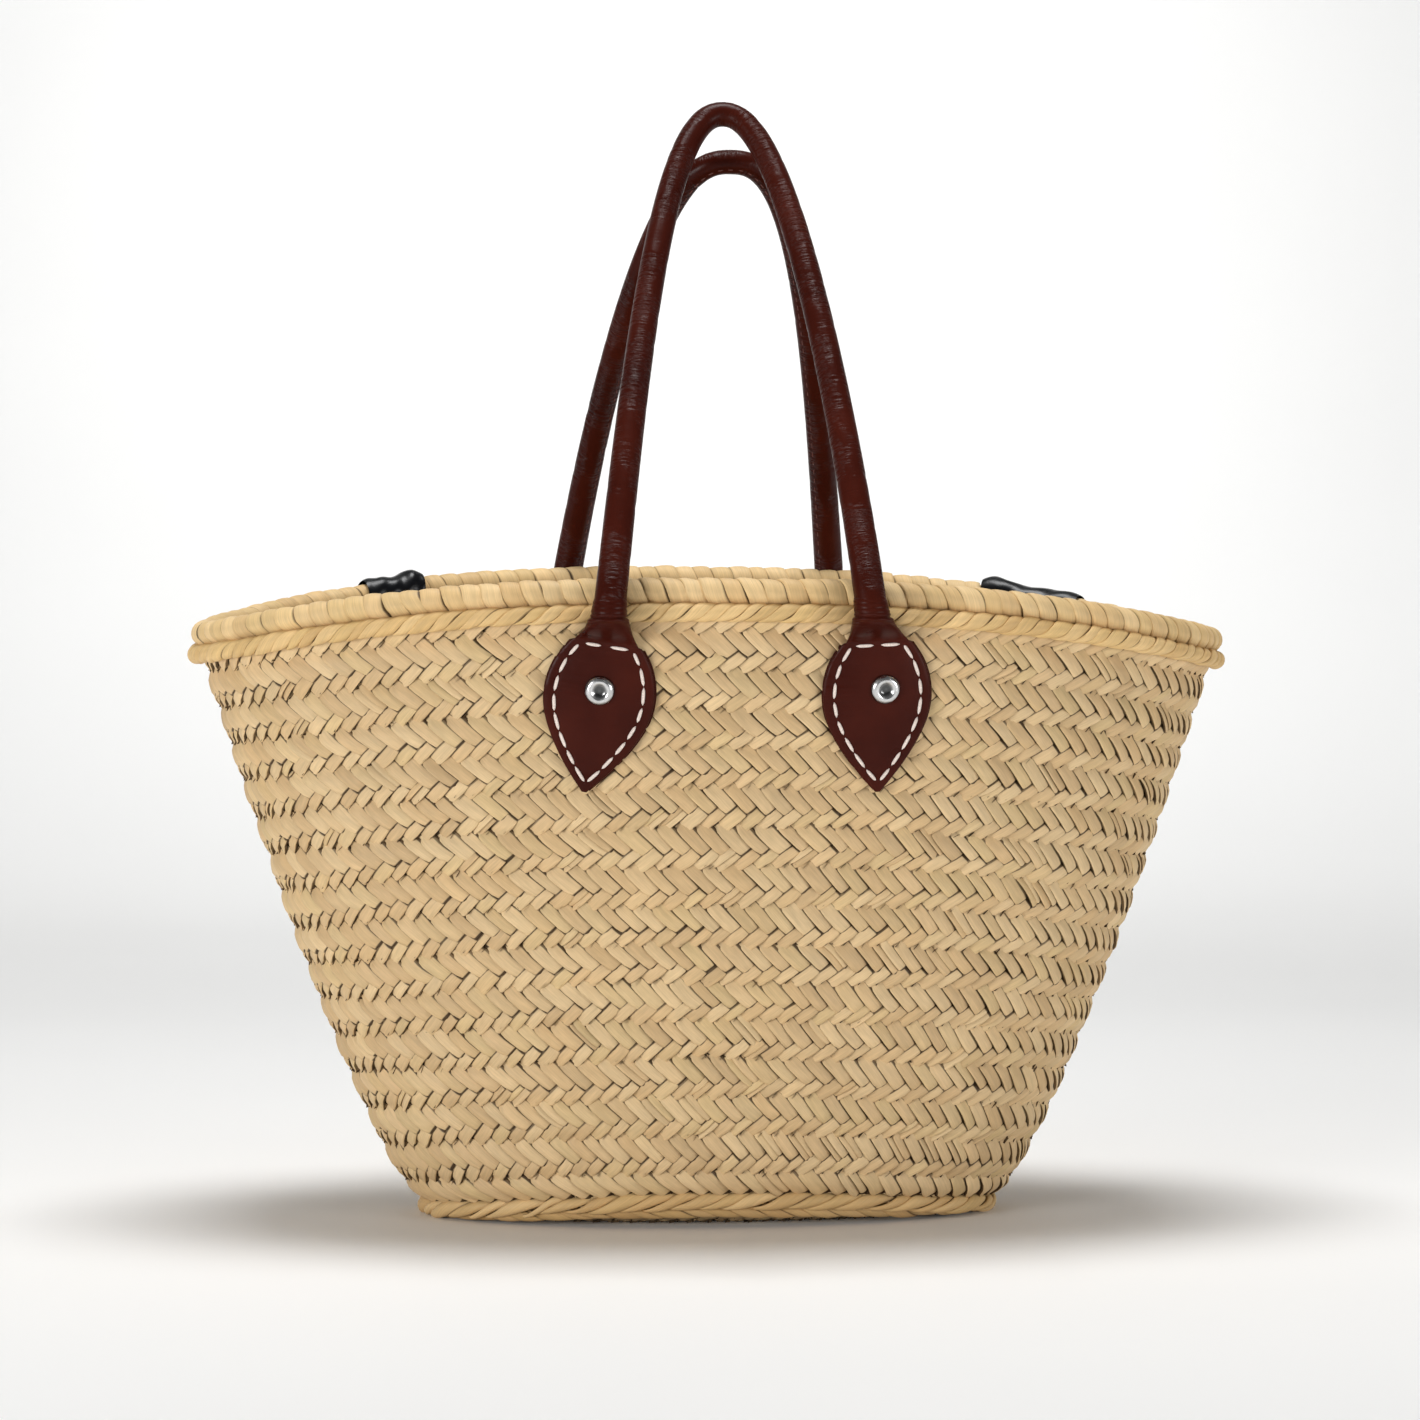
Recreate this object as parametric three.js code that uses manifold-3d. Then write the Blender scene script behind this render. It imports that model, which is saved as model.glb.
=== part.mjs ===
// A woven palm-leaf market basket with two rolled leather handles.
// Millimetres, +Z up. The origin is the middle of the flat underside that the basket stands on,
// X runs along the long side of the mouth, and -Y is the front.
import * as THREE from "three";
import { mergeVertices } from "three/addons/utils/BufferGeometryUtils.js";
import Module from "manifold-3d";

const wasm = await Module();
wasm.setup();

// ---- driving dimensions -------------------------------------------------------------------
const MOUTH_HALF_LENGTH = 242.5; // outer face of the wall at its top edge, along X
const MOUTH_HALF_DEPTH = 126; // the same, along Y
const BASE_HALF_LENGTH = 138.5; // outer face of the wall at its bottom edge
const BASE_HALF_DEPTH = 72;
const PLAN_EXPONENT = 2.2; // 2 is an ellipse, more is fuller at the corners
const FLARE_EXPONENT = 0.78; // how early the wall opens out as it rises
const RIM_TOP_SIDE = 284; // top of the rim roll at the two ends
const RIM_TOP_MIDDLE = 309; // top of the rim roll at the middle of the front and the back
const RIM_CREST_EXPONENT = 2.5; // 2 is a parabola, more holds the rim's height further out
const RIM_TILT = 2.1; // how far the rim dips at its right end and rises at its left end
const BASE_LIFT = 9.5; // how far the foot ring arches up at the middle of the front and the back
const WALL = 3.2; // thickness of the plaited wall
const GAP = 0.3; // clearance between pieces that touch

const ROLL_R = 6.5; // wrapped roll on top of the wall's edge
const ROLL_OUT = 1.4; // how far the roll's centre lies outside the middle of the wall's thickness
const CORD_R = 4.5; // thinner wrapped cord outside, below the roll
const RING_R = 4; // twisted foot ring
const WRAP_STRIP = 1.6; // thickness of the leaf strips wound round the cores
const CORD_DROP = 10.6; // from the roll's centre down to the cord's centre
const PANEL = 4; // thickness of the base panel

const HANDLE_R_FOOT = 7.65; // leather tube where it meets the leaves
const HANDLE_R_TOP = 6.1; // leather tube at the top of its arch
const LEATHER = 1.6; // tube's leather
const NECK_Y = 145.5; // hinge line where a handle bends, from the middle plane
const NECK_Z = 291;
const LEAN_EXPONENT = 1.25; // a handle rises upright past the rim, then leans inwards
// Each arch leans a little to the right, and the rear one is wider and lower, so its top passes under
// the front one's. An archExponent of 2 is a parabola, and more has straighter legs and a tighter top.
// leafTilts and rivetAsides are those of the left and the right foot.
const HANDLES = [
  {
    name: "front",
    side: -1,
    footX: 3.4,
    topX: 6.2,
    topY: -7,
    topZ: 528,
    halfSpacing: 60.4,
    archExponent: 2.22,
    leafTilts: [9, -2.4],
    rivetAsides: [0, 3.5],
  },
  {
    name: "rear",
    side: 1,
    footX: 5.5,
    topX: 11,
    topY: 8,
    topZ: 506,
    halfSpacing: 68.4,
    archExponent: 2.55,
    leafTilts: [3, -2],
    rivetAsides: [0, 0],
  },
];

const RIVET_Z = 258; // height of the rivets
const LEAF = 2; // thickness of the outer leather leaf
const BACKING = 1.5; // thickness of the second leaf, under it
const LEAF_LENGTH = 82;
const LEAF_SHIFT = 3; // the leaves lie this far to the right of where their tubes come down
const NECK_ABOVE_RIVET = 33; // along the leaf, from the rivet up to its neck
const RIVET_R = 6.9;
const POST_R = 2;
const WASHER_R = 11;
const THREAD_R = 0.55;
const STITCH_INSET = 5; // from the leaf's edge to the stitches
const TOP_STITCH = 13; // from the neck down to the straight row of stitches

const AROUND = 48; // facets round the basket
const X = new THREE.Vector3(1, 0, 0);
const Y = new THREE.Vector3(0, 1, 0);
const Z = new THREE.Vector3(0, 0, 1);

// ---- materials ----------------------------------------------------------------------------
const material = (color, roughness, metalness = 0) =>
  new THREE.MeshStandardMaterial({ color, roughness, metalness });
const PALM = material(0xcfae7f, 0.7);
const PALM_RIM = material(0xd6b580, 0.65);
const FIBRE = material(0x9c7b4c, 0.9);
const BROWN_LEATHER = material(0x4a231d, 0.42);
const BLACK_LEATHER = material(0x15151a, 0.35);
const THREAD = material(0xe8d8cc, 0.8);
const STEEL = material(0xc4c6c8, 0.25, 1);

// ---- helpers ------------------------------------------------------------------------------
const lerp = THREE.MathUtils.lerp;
const v3 = (x, y, z) => new THREE.Vector3(x, y, z);

// Joins rings of points into one closed mesh. Each ring runs the same way round and has as many
// points as the next. A looped loft joins its last ring to its first; otherwise both ends are capped.
function loft(rings, looped = false) {
  const n = rings[0].length;
  const points = rings.flat();
  const index = [];
  const bands = looped ? rings.length : rings.length - 1;
  for (let r = 0; r < bands; r++) {
    const a = r * n;
    const b = ((r + 1) % rings.length) * n;
    for (let i = 0; i < n; i++) {
      const j = (i + 1) % n;
      index.push(a + i, a + j, b + j, a + i, b + j, b + i);
    }
  }
  if (!looped) {
    cap(rings[0]).forEach(([p, q, r]) => index.push(p, r, q));
    const last = (rings.length - 1) * n;
    cap(rings.at(-1)).forEach(([p, q, r]) => index.push(last + p, last + q, last + r));
  }
  const geometry = new THREE.BufferGeometry().setFromPoints(points);
  geometry.setIndex(index);
  return facingOut(geometry);
}

// Triangles that close a flat ring, turned the way that the ring runs.
function cap(ring) {
  const normal = v3(0, 0, 0);
  ring.forEach((p, i) => normal.add(p.clone().cross(ring[(i + 1) % ring.length])));
  normal.normalize();
  const aside = Math.abs(normal.x) < 0.8 ? X : Y;
  const across = new THREE.Vector3().crossVectors(aside, normal).normalize();
  const along = new THREE.Vector3().crossVectors(normal, across);
  const flat = ring.map((p) => new THREE.Vector2(p.dot(across), p.dot(along)));
  return THREE.ShapeUtils.triangulateShape(flat, []);
}

// Turns every face round if the mesh encloses a negative volume.
function facingOut(geometry) {
  const p = geometry.attributes.position;
  const index = geometry.index.array;
  let volume = 0;
  for (let i = 0; i < index.length; i += 3) {
    const [a, b, c] = [0, 1, 2].map((k) => v3(0, 0, 0).fromBufferAttribute(p, index[i + k]));
    volume += a.dot(b.cross(c));
  }
  if (volume < 0) {
    for (let i = 0; i < index.length; i += 3) {
      [index[i + 1], index[i + 2]] = [index[i + 2], index[i + 1]];
    }
  }
  return geometry;
}

function toSolid(geometry) {
  const bare = geometry.clone();
  bare.deleteAttribute("normal");
  bare.deleteAttribute("uv");
  const merged = mergeVertices(bare, 1e-4);
  return new wasm.Manifold(
    new wasm.Mesh({
      numProp: 3,
      vertProperties: merged.attributes.position.array,
      triVerts: new Uint32Array(merged.index.array),
    }),
  );
}

function fromSolid(solid) {
  const mesh = solid.getMesh();
  const geometry = new THREE.BufferGeometry();
  geometry.setAttribute("position", new THREE.BufferAttribute(mesh.vertProperties, 3));
  geometry.setIndex(new THREE.BufferAttribute(mesh.triVerts, 1));
  return geometry;
}

const cut = (geometry, cutters) =>
  fromSolid(cutters.reduce((solid, cutter) => solid.subtract(toSolid(cutter)), toSolid(geometry)));

const group = new THREE.Group();
function add(name, geometry, look) {
  const mesh = new THREE.Mesh(geometry, look);
  mesh.name = name;
  group.add(mesh);
}

// ---- the shape of the basket ----------------------------------------------------------------
// angle runs round the basket from +X; rise runs from 0 at the wall's bottom edge to 1 at its top.
const planRadius = (angle) =>
  (Math.abs(Math.cos(angle)) ** PLAN_EXPONENT + Math.abs(Math.sin(angle)) ** PLAN_EXPONENT) **
  (-1 / PLAN_EXPONENT);
const sideways = (angle) => planRadius(angle) * Math.cos(angle); // 1 at the right end, -1 at the left
// 1 at the middle of the front and the back, 0 at the two ends.
const middleness = (angle, exponent = 2) => 1 - Math.abs(sideways(angle)) ** exponent;
const wallBottom = (angle) => 2 * RING_R + GAP + BASE_LIFT * middleness(angle);
const rimTop = (angle) =>
  lerp(RIM_TOP_SIDE, RIM_TOP_MIDDLE, middleness(angle, RIM_CREST_EXPONENT)) - RIM_TILT * sideways(angle);
const rollZ = (angle) => rimTop(angle) - ROLL_R;
const wallTop = (angle) => rollZ(angle) - ROLL_R + WRAP_STRIP - GAP;

function oval(angle, halfLength, halfDepth, z = 0) {
  const r = planRadius(angle);
  return v3(halfLength * r * Math.cos(angle), halfDepth * r * Math.sin(angle), z);
}

// Level direction square to the oval, pointing out of the basket.
function outward(angle, halfLength, halfDepth) {
  const p = oval(angle, halfLength, halfDepth);
  const slope = (value, half) => (Math.sign(value) * Math.abs(value / half) ** (PLAN_EXPONENT - 1)) / half;
  return v3(slope(p.x, halfLength), slope(p.y, halfDepth), 0).normalize();
}

function wallPoint(angle, rise, out = 0) {
  const open = Math.max(rise, 0) ** FLARE_EXPONENT;
  const halfLength = lerp(BASE_HALF_LENGTH, MOUTH_HALF_LENGTH, open);
  const halfDepth = lerp(BASE_HALF_DEPTH, MOUTH_HALF_DEPTH, open);
  const z = lerp(wallBottom(angle), wallTop(angle), rise);
  return oval(angle, halfLength, halfDepth, z).addScaledVector(outward(angle, halfLength, halfDepth), out);
}

const riseAt = (angle, z) => (z - wallBottom(angle)) / (wallTop(angle) - wallBottom(angle));

const angles = Array.from({ length: AROUND }, (_, i) => (i / AROUND) * 2 * Math.PI);

// Points of a section in the upright plane through a centre: turn 0 is up, 90 degrees is outwards.
const aroundCentre = (centre, out, radius, turn) =>
  centre.clone().addScaledVector(out, radius * Math.sin(turn)).addScaledVector(Z, radius * Math.cos(turn));

const deg = THREE.MathUtils.degToRad;

function roundSection(centre, out, radius, sides) {
  const step = (2 * Math.PI) / sides;
  return Array.from({ length: sides }, (_, i) => aroundCentre(centre, out, radius, (i + 0.5) * step));
}

// A strip wound round a core, as a C that is open from one turn to another.
function wrapSection(centre, out, outer, inner, from, to, steps) {
  const turns = Array.from({ length: steps + 1 }, (_, i) => lerp(from, to, i / steps));
  return [
    ...turns.map((turn) => aroundCentre(centre, out, outer, turn)),
    ...turns.reverse().map((turn) => aroundCentre(centre, out, inner, turn)),
  ];
}

const topOut = (angle) => outward(angle, MOUTH_HALF_LENGTH, MOUTH_HALF_DEPTH);
function rollCentre(angle) {
  const centre = wallPoint(angle, 1, ROLL_OUT - WALL / 2);
  centre.z = rollZ(angle);
  return centre;
}
function cordCentre(angle) {
  const z = rollZ(angle) - CORD_DROP;
  const centre = wallPoint(angle, riseAt(angle, z), CORD_R + GAP);
  centre.z = z;
  return centre;
}

// ---- body of the basket ---------------------------------------------------------------------
function wallGeometry() {
  const rows = 6;
  const rises = Array.from({ length: rows }, (_, i) => (i / (rows - 1)) ** 1.3);
  return loft(
    angles.map((angle) => [
      ...rises.map((rise) => wallPoint(angle, rise)),
      ...[...rises].reverse().map((rise) => wallPoint(angle, rise, -WALL)),
    ]),
    true,
  );
}

// The base panel is flat in the middle, and its edge rises with the foot ring.
function basePanelGeometry() {
  const halfLength = BASE_HALF_LENGTH - 2 * RING_R - 0.4;
  const halfDepth = BASE_HALF_DEPTH - 2 * RING_R - 0.4;
  const flatShare = 0.72;
  const shares = [0.36, flatShare, 0.86, 1];
  const ring = (share, z) =>
    angles.map((angle) => {
      const up = Math.max(0, (share - flatShare) / (1 - flatShare));
      return oval(angle, halfLength * share, halfDepth * share, z + BASE_LIFT * middleness(angle) * up);
    });
  const underside = shares.map((share) => ring(share, 0));
  const upperSide = shares.toReversed().map((share) => ring(share, PANEL));
  return loft([...underside, ...upperSide]);
}

function ringGeometry() {
  return loft(
    angles.map((angle) => {
      const out = outward(angle, BASE_HALF_LENGTH, BASE_HALF_DEPTH);
      const centre = oval(angle, BASE_HALF_LENGTH, BASE_HALF_DEPTH, RING_R + BASE_LIFT * middleness(angle));
      centre.addScaledVector(out, -RING_R + 1.2);
      return roundSection(centre, out, RING_R / Math.cos(Math.PI / 8), 8);
    }),
    true,
  );
}

const loopAround = (section) => loft(angles.map((angle) => section(angle, topOut(angle))), true);

const CORE_CLEAR = 0.35;
const ROLL_OPEN = deg(34); // the roll's wrap straddles the wall's edge
const CORD_OPEN = deg(28); // the cord's wrap is sewn to the wall along its inner side

const rollWrap = loopAround((angle, out) => {
  const inner = ROLL_R - WRAP_STRIP;
  return wrapSection(rollCentre(angle), out, ROLL_R, inner, ROLL_OPEN - Math.PI, Math.PI - ROLL_OPEN, 7);
});
const cordWrap = loopAround((angle, out) => {
  const inner = CORD_R - WRAP_STRIP;
  const from = CORD_OPEN - Math.PI / 2;
  const to = 1.5 * Math.PI - CORD_OPEN;
  return wrapSection(cordCentre(angle), out, CORD_R, inner, from, to, 6);
});
const coreAlong = (centre, radius) =>
  loopAround((angle, out) => roundSection(centre(angle), out, radius - WRAP_STRIP - CORE_CLEAR, 6));

// Black leather bound over the roll, between two places along the back of the rim.
function rimPatch(fromX, toX) {
  const steps = 4;
  const sections = Array.from({ length: steps + 1 }, (_, i) => {
    const angle = backAngle(lerp(fromX, toX, i / steps));
    const [outer, inner] = [ROLL_R + 2, ROLL_R + 0.6];
    return wrapSection(rollCentre(angle), topOut(angle), outer, inner, deg(-145), deg(125), 8);
  });
  return loft(sections);
}

// The angle at which the back of the roll lies at x.
function backAngle(x) {
  let [low, high] = [0, Math.PI];
  for (let i = 0; i < 40; i++) {
    const middle = (low + high) / 2;
    if (rollCentre(middle).x > x) low = middle;
    else high = middle;
  }
  return (low + high) / 2;
}

// ---- handles --------------------------------------------------------------------------------
// A point on a handle's centre line: turn is -90 degrees at the left foot, 0 at the top, 90 at the right.
function handlePoint(handle, turn) {
  const height = Math.cos(turn);
  const spread = Math.sign(turn) * (1 - height) ** (1 / handle.archExponent);
  return v3(
    lerp(handle.footX, handle.topX, height) + spread * handle.halfSpacing,
    lerp(handle.side * NECK_Y, handle.topY, height ** LEAN_EXPONENT),
    lerp(NECK_Z, handle.topZ, height),
  );
}

// Rings square to the handle's line from the left foot over the top to the right foot.
const HANDLE_STEPS = 24;
function handleRings(handle, section) {
  return Array.from({ length: HANDLE_STEPS + 1 }, (_, i) => {
    const turn = lerp(-Math.PI / 2, Math.PI / 2, i / HANDLE_STEPS);
    const before = handlePoint(handle, Math.max(turn - 0.01, -Math.PI / 2));
    const after = handlePoint(handle, Math.min(turn + 0.01, Math.PI / 2));
    const tangent = after.sub(before).normalize();
    if (i === 0) tangent.copy(Z);
    if (i === HANDLE_STEPS) tangent.copy(Z).negate();
    const across = new THREE.Vector3().crossVectors(tangent, Y).normalize();
    const other = new THREE.Vector3().crossVectors(across, tangent).normalize();
    const radius = lerp(HANDLE_R_FOOT, HANDLE_R_TOP, Math.cos(turn) ** 0.8);
    return section(handlePoint(handle, turn), across, other, radius);
  });
}

const circle = (centre, across, other, radius, sides) =>
  Array.from({ length: sides }, (_, i) => {
    const turn = (i / sides) * 2 * Math.PI;
    const point = centre.clone().addScaledVector(across, radius * Math.cos(turn));
    return point.addScaledVector(other, radius * Math.sin(turn));
  });

// The leather tube is open at both feet.
function sleeveGeometry(handle) {
  const outer = handleRings(handle, (c, a, o, r) => circle(c, a, o, r, 10));
  const inner = handleRings(handle, (c, a, o, r) => circle(c, a, o, r - LEATHER, 10));
  return loft([...outer, ...inner.reverse()], true);
}

const handleCoreGeometry = (handle) =>
  loft(handleRings(handle, (c, a, o, r) => circle(c, a, o, r - LEATHER - 0.5, 6)));

// ---- where a handle is fastened ---------------------------------------------------------------
// A frame on the wall's outer face at a rivet: across the leaf, up along the wall, out of the wall.
// tilt swings the leaf's tip to the left about its neck.
function rivetFrame(handle, end, tilt) {
  const neckX = handle.footX + end * handle.halfSpacing + LEAF_SHIFT;
  const x = neckX - NECK_ABOVE_RIVET * Math.sin(tilt);
  const { side } = handle;
  let [low, high] = [0, Math.PI];
  for (let i = 0; i < 40; i++) {
    const middle = (low + high) / 2;
    if (wallPoint(side * middle, riseAt(side * middle, RIVET_Z)).x > x) low = middle;
    else high = middle;
  }
  const angle = side * low;
  const rise = riseAt(angle, RIVET_Z);
  const step = 0.01;
  const origin = wallPoint(angle, rise);
  const along = wallPoint(angle, rise + step).sub(wallPoint(angle, rise - step)).normalize();
  const round = wallPoint(angle + step, rise).sub(wallPoint(angle - step, rise)).normalize();
  const out = new THREE.Vector3().crossVectors(round, along).normalize();
  const up = Z.clone().addScaledVector(out, -Z.dot(out)).normalize().applyAxisAngle(out, side * tilt);
  const across = new THREE.Vector3().crossVectors(up, out);
  return new THREE.Matrix4().makeBasis(across, up, out).setPosition(origin);
}

// Half the leaf's width, by the distance down from its neck.
const LEAF_OUTLINE = [
  [0, 8.6],
  [10, 15.7],
  [21, 22.4],
  [33, 25.4],
  [45, 24.4],
  [57, 19.4],
  [70, 11],
  [LEAF_LENGTH, 0.9],
];
const leafEdge = new THREE.SplineCurve(
  LEAF_OUTLINE.map(([down, half]) => new THREE.Vector2(down, half)),
);

function halfWidth(down) {
  let [low, high] = [0, 1];
  for (let i = 0; i < 30; i++) {
    const middle = (low + high) / 2;
    if (leafEdge.getPoint(middle).x < down) low = middle;
    else high = middle;
  }
  return leafEdge.getPoint(low).y;
}

// The leaf lies on the wall, and its neck curves out under the outer cord to the handle's foot.
const CURL_FROM = 19; // distance down from the neck where the leaf leaves the wall
const CURL_OUT = 9.2;
const CURL_DOWN = 3; // how much lower than straight up the neck ends
function leafPoint(down, across, out) {
  const curl = Math.max(0, (CURL_FROM - down) / CURL_FROM);
  return v3(across, NECK_ABOVE_RIVET - down - CURL_DOWN * curl ** 2, out + CURL_OUT * curl ** 2);
}

function leafSheet(downs, inset, low, high) {
  const columns = [-1, -0.4, 0.4, 1];
  return loft(
    downs.map((down) => {
      const half = Math.max(halfWidth(down) - inset, 0.4);
      return [
        ...columns.map((share) => leafPoint(down, share * half, low)),
        ...columns.toReversed().map((share) => leafPoint(down, share * half, high)),
      ];
    }),
  );
}

const LEAF_ROWS = [0, 4, 8, 12, 16, 23, 30, 38, 46, 54, 62, 70, 76, LEAF_LENGTH];
const BACKING_ROWS = LEAF_ROWS.slice(4, -1);
const BACKING_LOW = GAP;
const LEAF_LOW = BACKING_LOW + BACKING + GAP;
const LEAF_TOP = LEAF_LOW + LEAF;

// One closed loop of thread, level with the stitches on the leaf.
function threadGeometry() {
  const downs = [TOP_STITCH, 20, 27, 34, 42, 50, 58, 65, 71.5];
  const right = downs.map((down) => [down, Math.max(halfWidth(down) - STITCH_INSET, 0.8)]);
  const left = right.toReversed().map(([down, half]) => [down, -half]);
  const line = new THREE.CatmullRomCurve3(
    [...right, ...left].map(([down, across]) => leafPoint(down, across, LEAF_TOP + GAP + THREAD_R)),
    true,
    "catmullrom",
    0.3,
  );
  const steps = 26;
  return loft(
    Array.from({ length: steps }, (_, i) => {
      const tangent = line.getTangent(i / steps);
      const across = new THREE.Vector3().crossVectors(tangent, Z).normalize();
      const up = new THREE.Vector3().crossVectors(across, tangent).normalize();
      return circle(line.getPoint(i / steps), across, up, THREAD_R, 4);
    }),
    true,
  );
}

// Turned pieces, made about the rivet's axis: pairs of radius and height above the wall's outer face.
function turned(profile, sides = 12) {
  const points = profile.map(([radius, height]) => new THREE.Vector2(radius, height));
  return facingOut(mergeVertices(bareLathe(points, sides), 1e-4).rotateX(Math.PI / 2));
}
function bareLathe(points, sides) {
  const geometry = new THREE.LatheGeometry(points, sides);
  geometry.deleteAttribute("normal");
  geometry.deleteAttribute("uv");
  return geometry;
}

const WASHER_TOP = -WALL - 0.5;
const WASHER = 1.8;
const BACK_TOP = WASHER_TOP - WASHER - GAP;
const BACK = 2;
const HOLE_R = POST_R + GAP;

const CAP_LOW = LEAF_TOP + GAP;
const rivetCap = () =>
  turned([
    [0, CAP_LOW + 2.2],
    [3.2, CAP_LOW + 2.3],
    [4.6, CAP_LOW + 2.9],
    [6.2, CAP_LOW + 2.2],
    [RIVET_R, CAP_LOW + 0.9],
    [RIVET_R - 0.4, CAP_LOW],
    [POST_R, CAP_LOW],
    [POST_R, BACK_TOP - BACK],
    [0, BACK_TOP - BACK],
  ]);
const rivetBack = () =>
  turned([
    [HOLE_R, BACK_TOP],
    [5.4, BACK_TOP],
    [5.2, BACK_TOP - 1.2],
    [3.6, BACK_TOP - BACK],
    [HOLE_R, BACK_TOP - BACK],
    [HOLE_R, BACK_TOP],
  ]);
const washer = () =>
  turned([
    [HOLE_R, WASHER_TOP],
    [WASHER_R, WASHER_TOP],
    [WASHER_R, WASHER_TOP - WASHER],
    [HOLE_R, WASHER_TOP - WASHER],
    [HOLE_R, WASHER_TOP],
  ]);
const postHole = () =>
  turned([
    [0, 12],
    [HOLE_R, 12],
    [HOLE_R, -12],
    [0, -12],
  ], 10);

// ---- assembly ---------------------------------------------------------------------------------
const feet = HANDLES.flatMap((handle) =>
  [-1, 1].map((end, i) => {
    const frame = rivetFrame(handle, end, deg(handle.leafTilts[i]));
    const aside = new THREE.Matrix4().makeTranslation(handle.rivetAsides[i], 0, 0);
    return {
      name: handle.name + (end < 0 ? "_left" : "_right"),
      onLeaf: (geometry) => geometry.applyMatrix4(frame),
      atRivet: (geometry) => geometry.applyMatrix4(aside).applyMatrix4(frame),
    };
  }),
);
const holes = () => feet.map(({ atRivet }) => atRivet(postHole()));

add("base_panel", basePanelGeometry(), PALM);
add("base_ring", ringGeometry(), PALM_RIM);
add("plaited_wall", cut(wallGeometry(), holes()), PALM);
add("rim_roll_core", coreAlong(rollCentre, ROLL_R), FIBRE);
add("rim_roll_wrap", rollWrap, PALM_RIM);
add("rim_cord_core", coreAlong(cordCentre, CORD_R), FIBRE);
add("rim_cord_wrap", cordWrap, PALM_RIM);
add("rim_patch_left", rimPatch(-136, -165), BLACK_LEATHER);
add("rim_patch_right", rimPatch(193, 147), BLACK_LEATHER);

for (const { name, onLeaf, atRivet } of feet) {
  const leaf = onLeaf(leafSheet(LEAF_ROWS, 0, LEAF_LOW, LEAF_TOP));
  const backing = onLeaf(leafSheet(BACKING_ROWS, 0.8, BACKING_LOW, BACKING_LOW + BACKING));
  add("leaf_" + name, cut(leaf, [atRivet(postHole())]), BROWN_LEATHER);
  add("leaf_backing_" + name, cut(backing, [atRivet(postHole())]), BROWN_LEATHER);
  add("stitching_" + name, onLeaf(threadGeometry()), THREAD);
  add("rivet_" + name, atRivet(rivetCap()), STEEL);
  add("rivet_washer_" + name, atRivet(washer()), BROWN_LEATHER);
  add("rivet_back_" + name, atRivet(rivetBack()), STEEL);
}

for (const handle of HANDLES) {
  add(handle.name + "_handle_sleeve", sleeveGeometry(handle), BROWN_LEATHER);
  add(handle.name + "_handle_core", handleCoreGeometry(handle), FIBRE);
}

export default group;
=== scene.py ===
import math

import bpy
import numpy as np
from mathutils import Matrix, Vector


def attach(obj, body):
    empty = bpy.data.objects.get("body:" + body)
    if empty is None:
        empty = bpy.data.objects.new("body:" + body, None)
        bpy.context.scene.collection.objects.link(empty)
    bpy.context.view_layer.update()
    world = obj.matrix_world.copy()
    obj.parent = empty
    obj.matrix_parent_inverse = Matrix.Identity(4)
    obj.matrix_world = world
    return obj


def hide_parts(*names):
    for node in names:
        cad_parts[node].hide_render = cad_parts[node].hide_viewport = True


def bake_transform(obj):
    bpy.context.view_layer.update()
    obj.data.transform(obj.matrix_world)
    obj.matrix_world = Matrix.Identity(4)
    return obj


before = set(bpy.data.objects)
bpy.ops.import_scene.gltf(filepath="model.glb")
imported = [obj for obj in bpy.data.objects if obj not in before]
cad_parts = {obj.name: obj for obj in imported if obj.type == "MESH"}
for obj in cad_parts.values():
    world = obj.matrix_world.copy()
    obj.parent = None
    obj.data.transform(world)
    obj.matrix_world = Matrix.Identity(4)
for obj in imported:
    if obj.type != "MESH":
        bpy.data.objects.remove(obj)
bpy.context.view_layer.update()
rng = np.random.default_rng(11)
MM = 0.001
UP = np.array([0, 0, 1.0])

# ---- sizes of the frame ----
MOUTH = np.array([242.5, 126.0]) * MM  # half length and half depth of the wall's outer face
BASE = np.array([138.5, 72.0]) * MM
PLAN_EXPONENT = 2.2
FLARE_EXPONENT = 0.78
RIM_TOP_SIDE = 284 * MM
RIM_TOP_MIDDLE = 309 * MM
RIM_CREST_EXPONENT = 2.5
RIM_TILT = 2.1 * MM
BASE_LIFT = 9.5 * MM
WALL = 3.2 * MM
WALL_OVER_RING = 0.3 * MM  # gap between the foot ring and the wall's foot
WALL_INTO_ROLL = 1.3 * MM  # how far the wall's top edge goes up into the rim roll
ROLL_R = 6.5 * MM
ROLL_OUT = 1.4 * MM
CORD_R = 4.5 * MM
CORD_DROP = 10.6 * MM
CORD_OUT = 4.8 * MM
CORD_LIFT = 1.1 * MM  # the wound cord nestles closer under the roll than its core
RING_R = 4 * MM
RING_OUT = 1.2 * MM  # how far the foot ring stands out of the wall's foot
NECK_Y = 145.5 * MM
NECK_Z = 291 * MM
LEAN_EXPONENT = 1.25
HANDLE_R_FOOT = 7.65 * MM
HANDLE_R_TOP = 6.1 * MM
HANDLES = {
    "front": {
        "side": -1, "foot_x": 3.4 * MM, "top_x": 6.2 * MM, "top_y": -7 * MM, "top_z": 528 * MM,
        "half": 60.4 * MM, "arch": 2.22, "tilts": (9, -2.4), "asides": (0, 3.5 * MM),
    },
    "rear": {
        "side": 1, "foot_x": 5.5 * MM, "top_x": 11 * MM, "top_y": 8 * MM, "top_z": 506 * MM,
        "half": 68.4 * MM, "arch": 2.55, "tilts": (3, -2), "asides": (0, 0),
    },
}
RIVET_Z = 258 * MM
NECK_ABOVE_RIVET = 33 * MM
LEAF_SHIFT = 3 * MM
LEAF_LENGTH_MM = 82.0
# Millimetres down the leaf, and half its width there.
LEAF_OUTLINE_MM = np.array(
    [[0, 8.6], [10, 15.7], [21, 22.4], [33, 25.4], [45, 24.4], [57, 19.4], [70, 11], [82, 0.9]]
)


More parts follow.
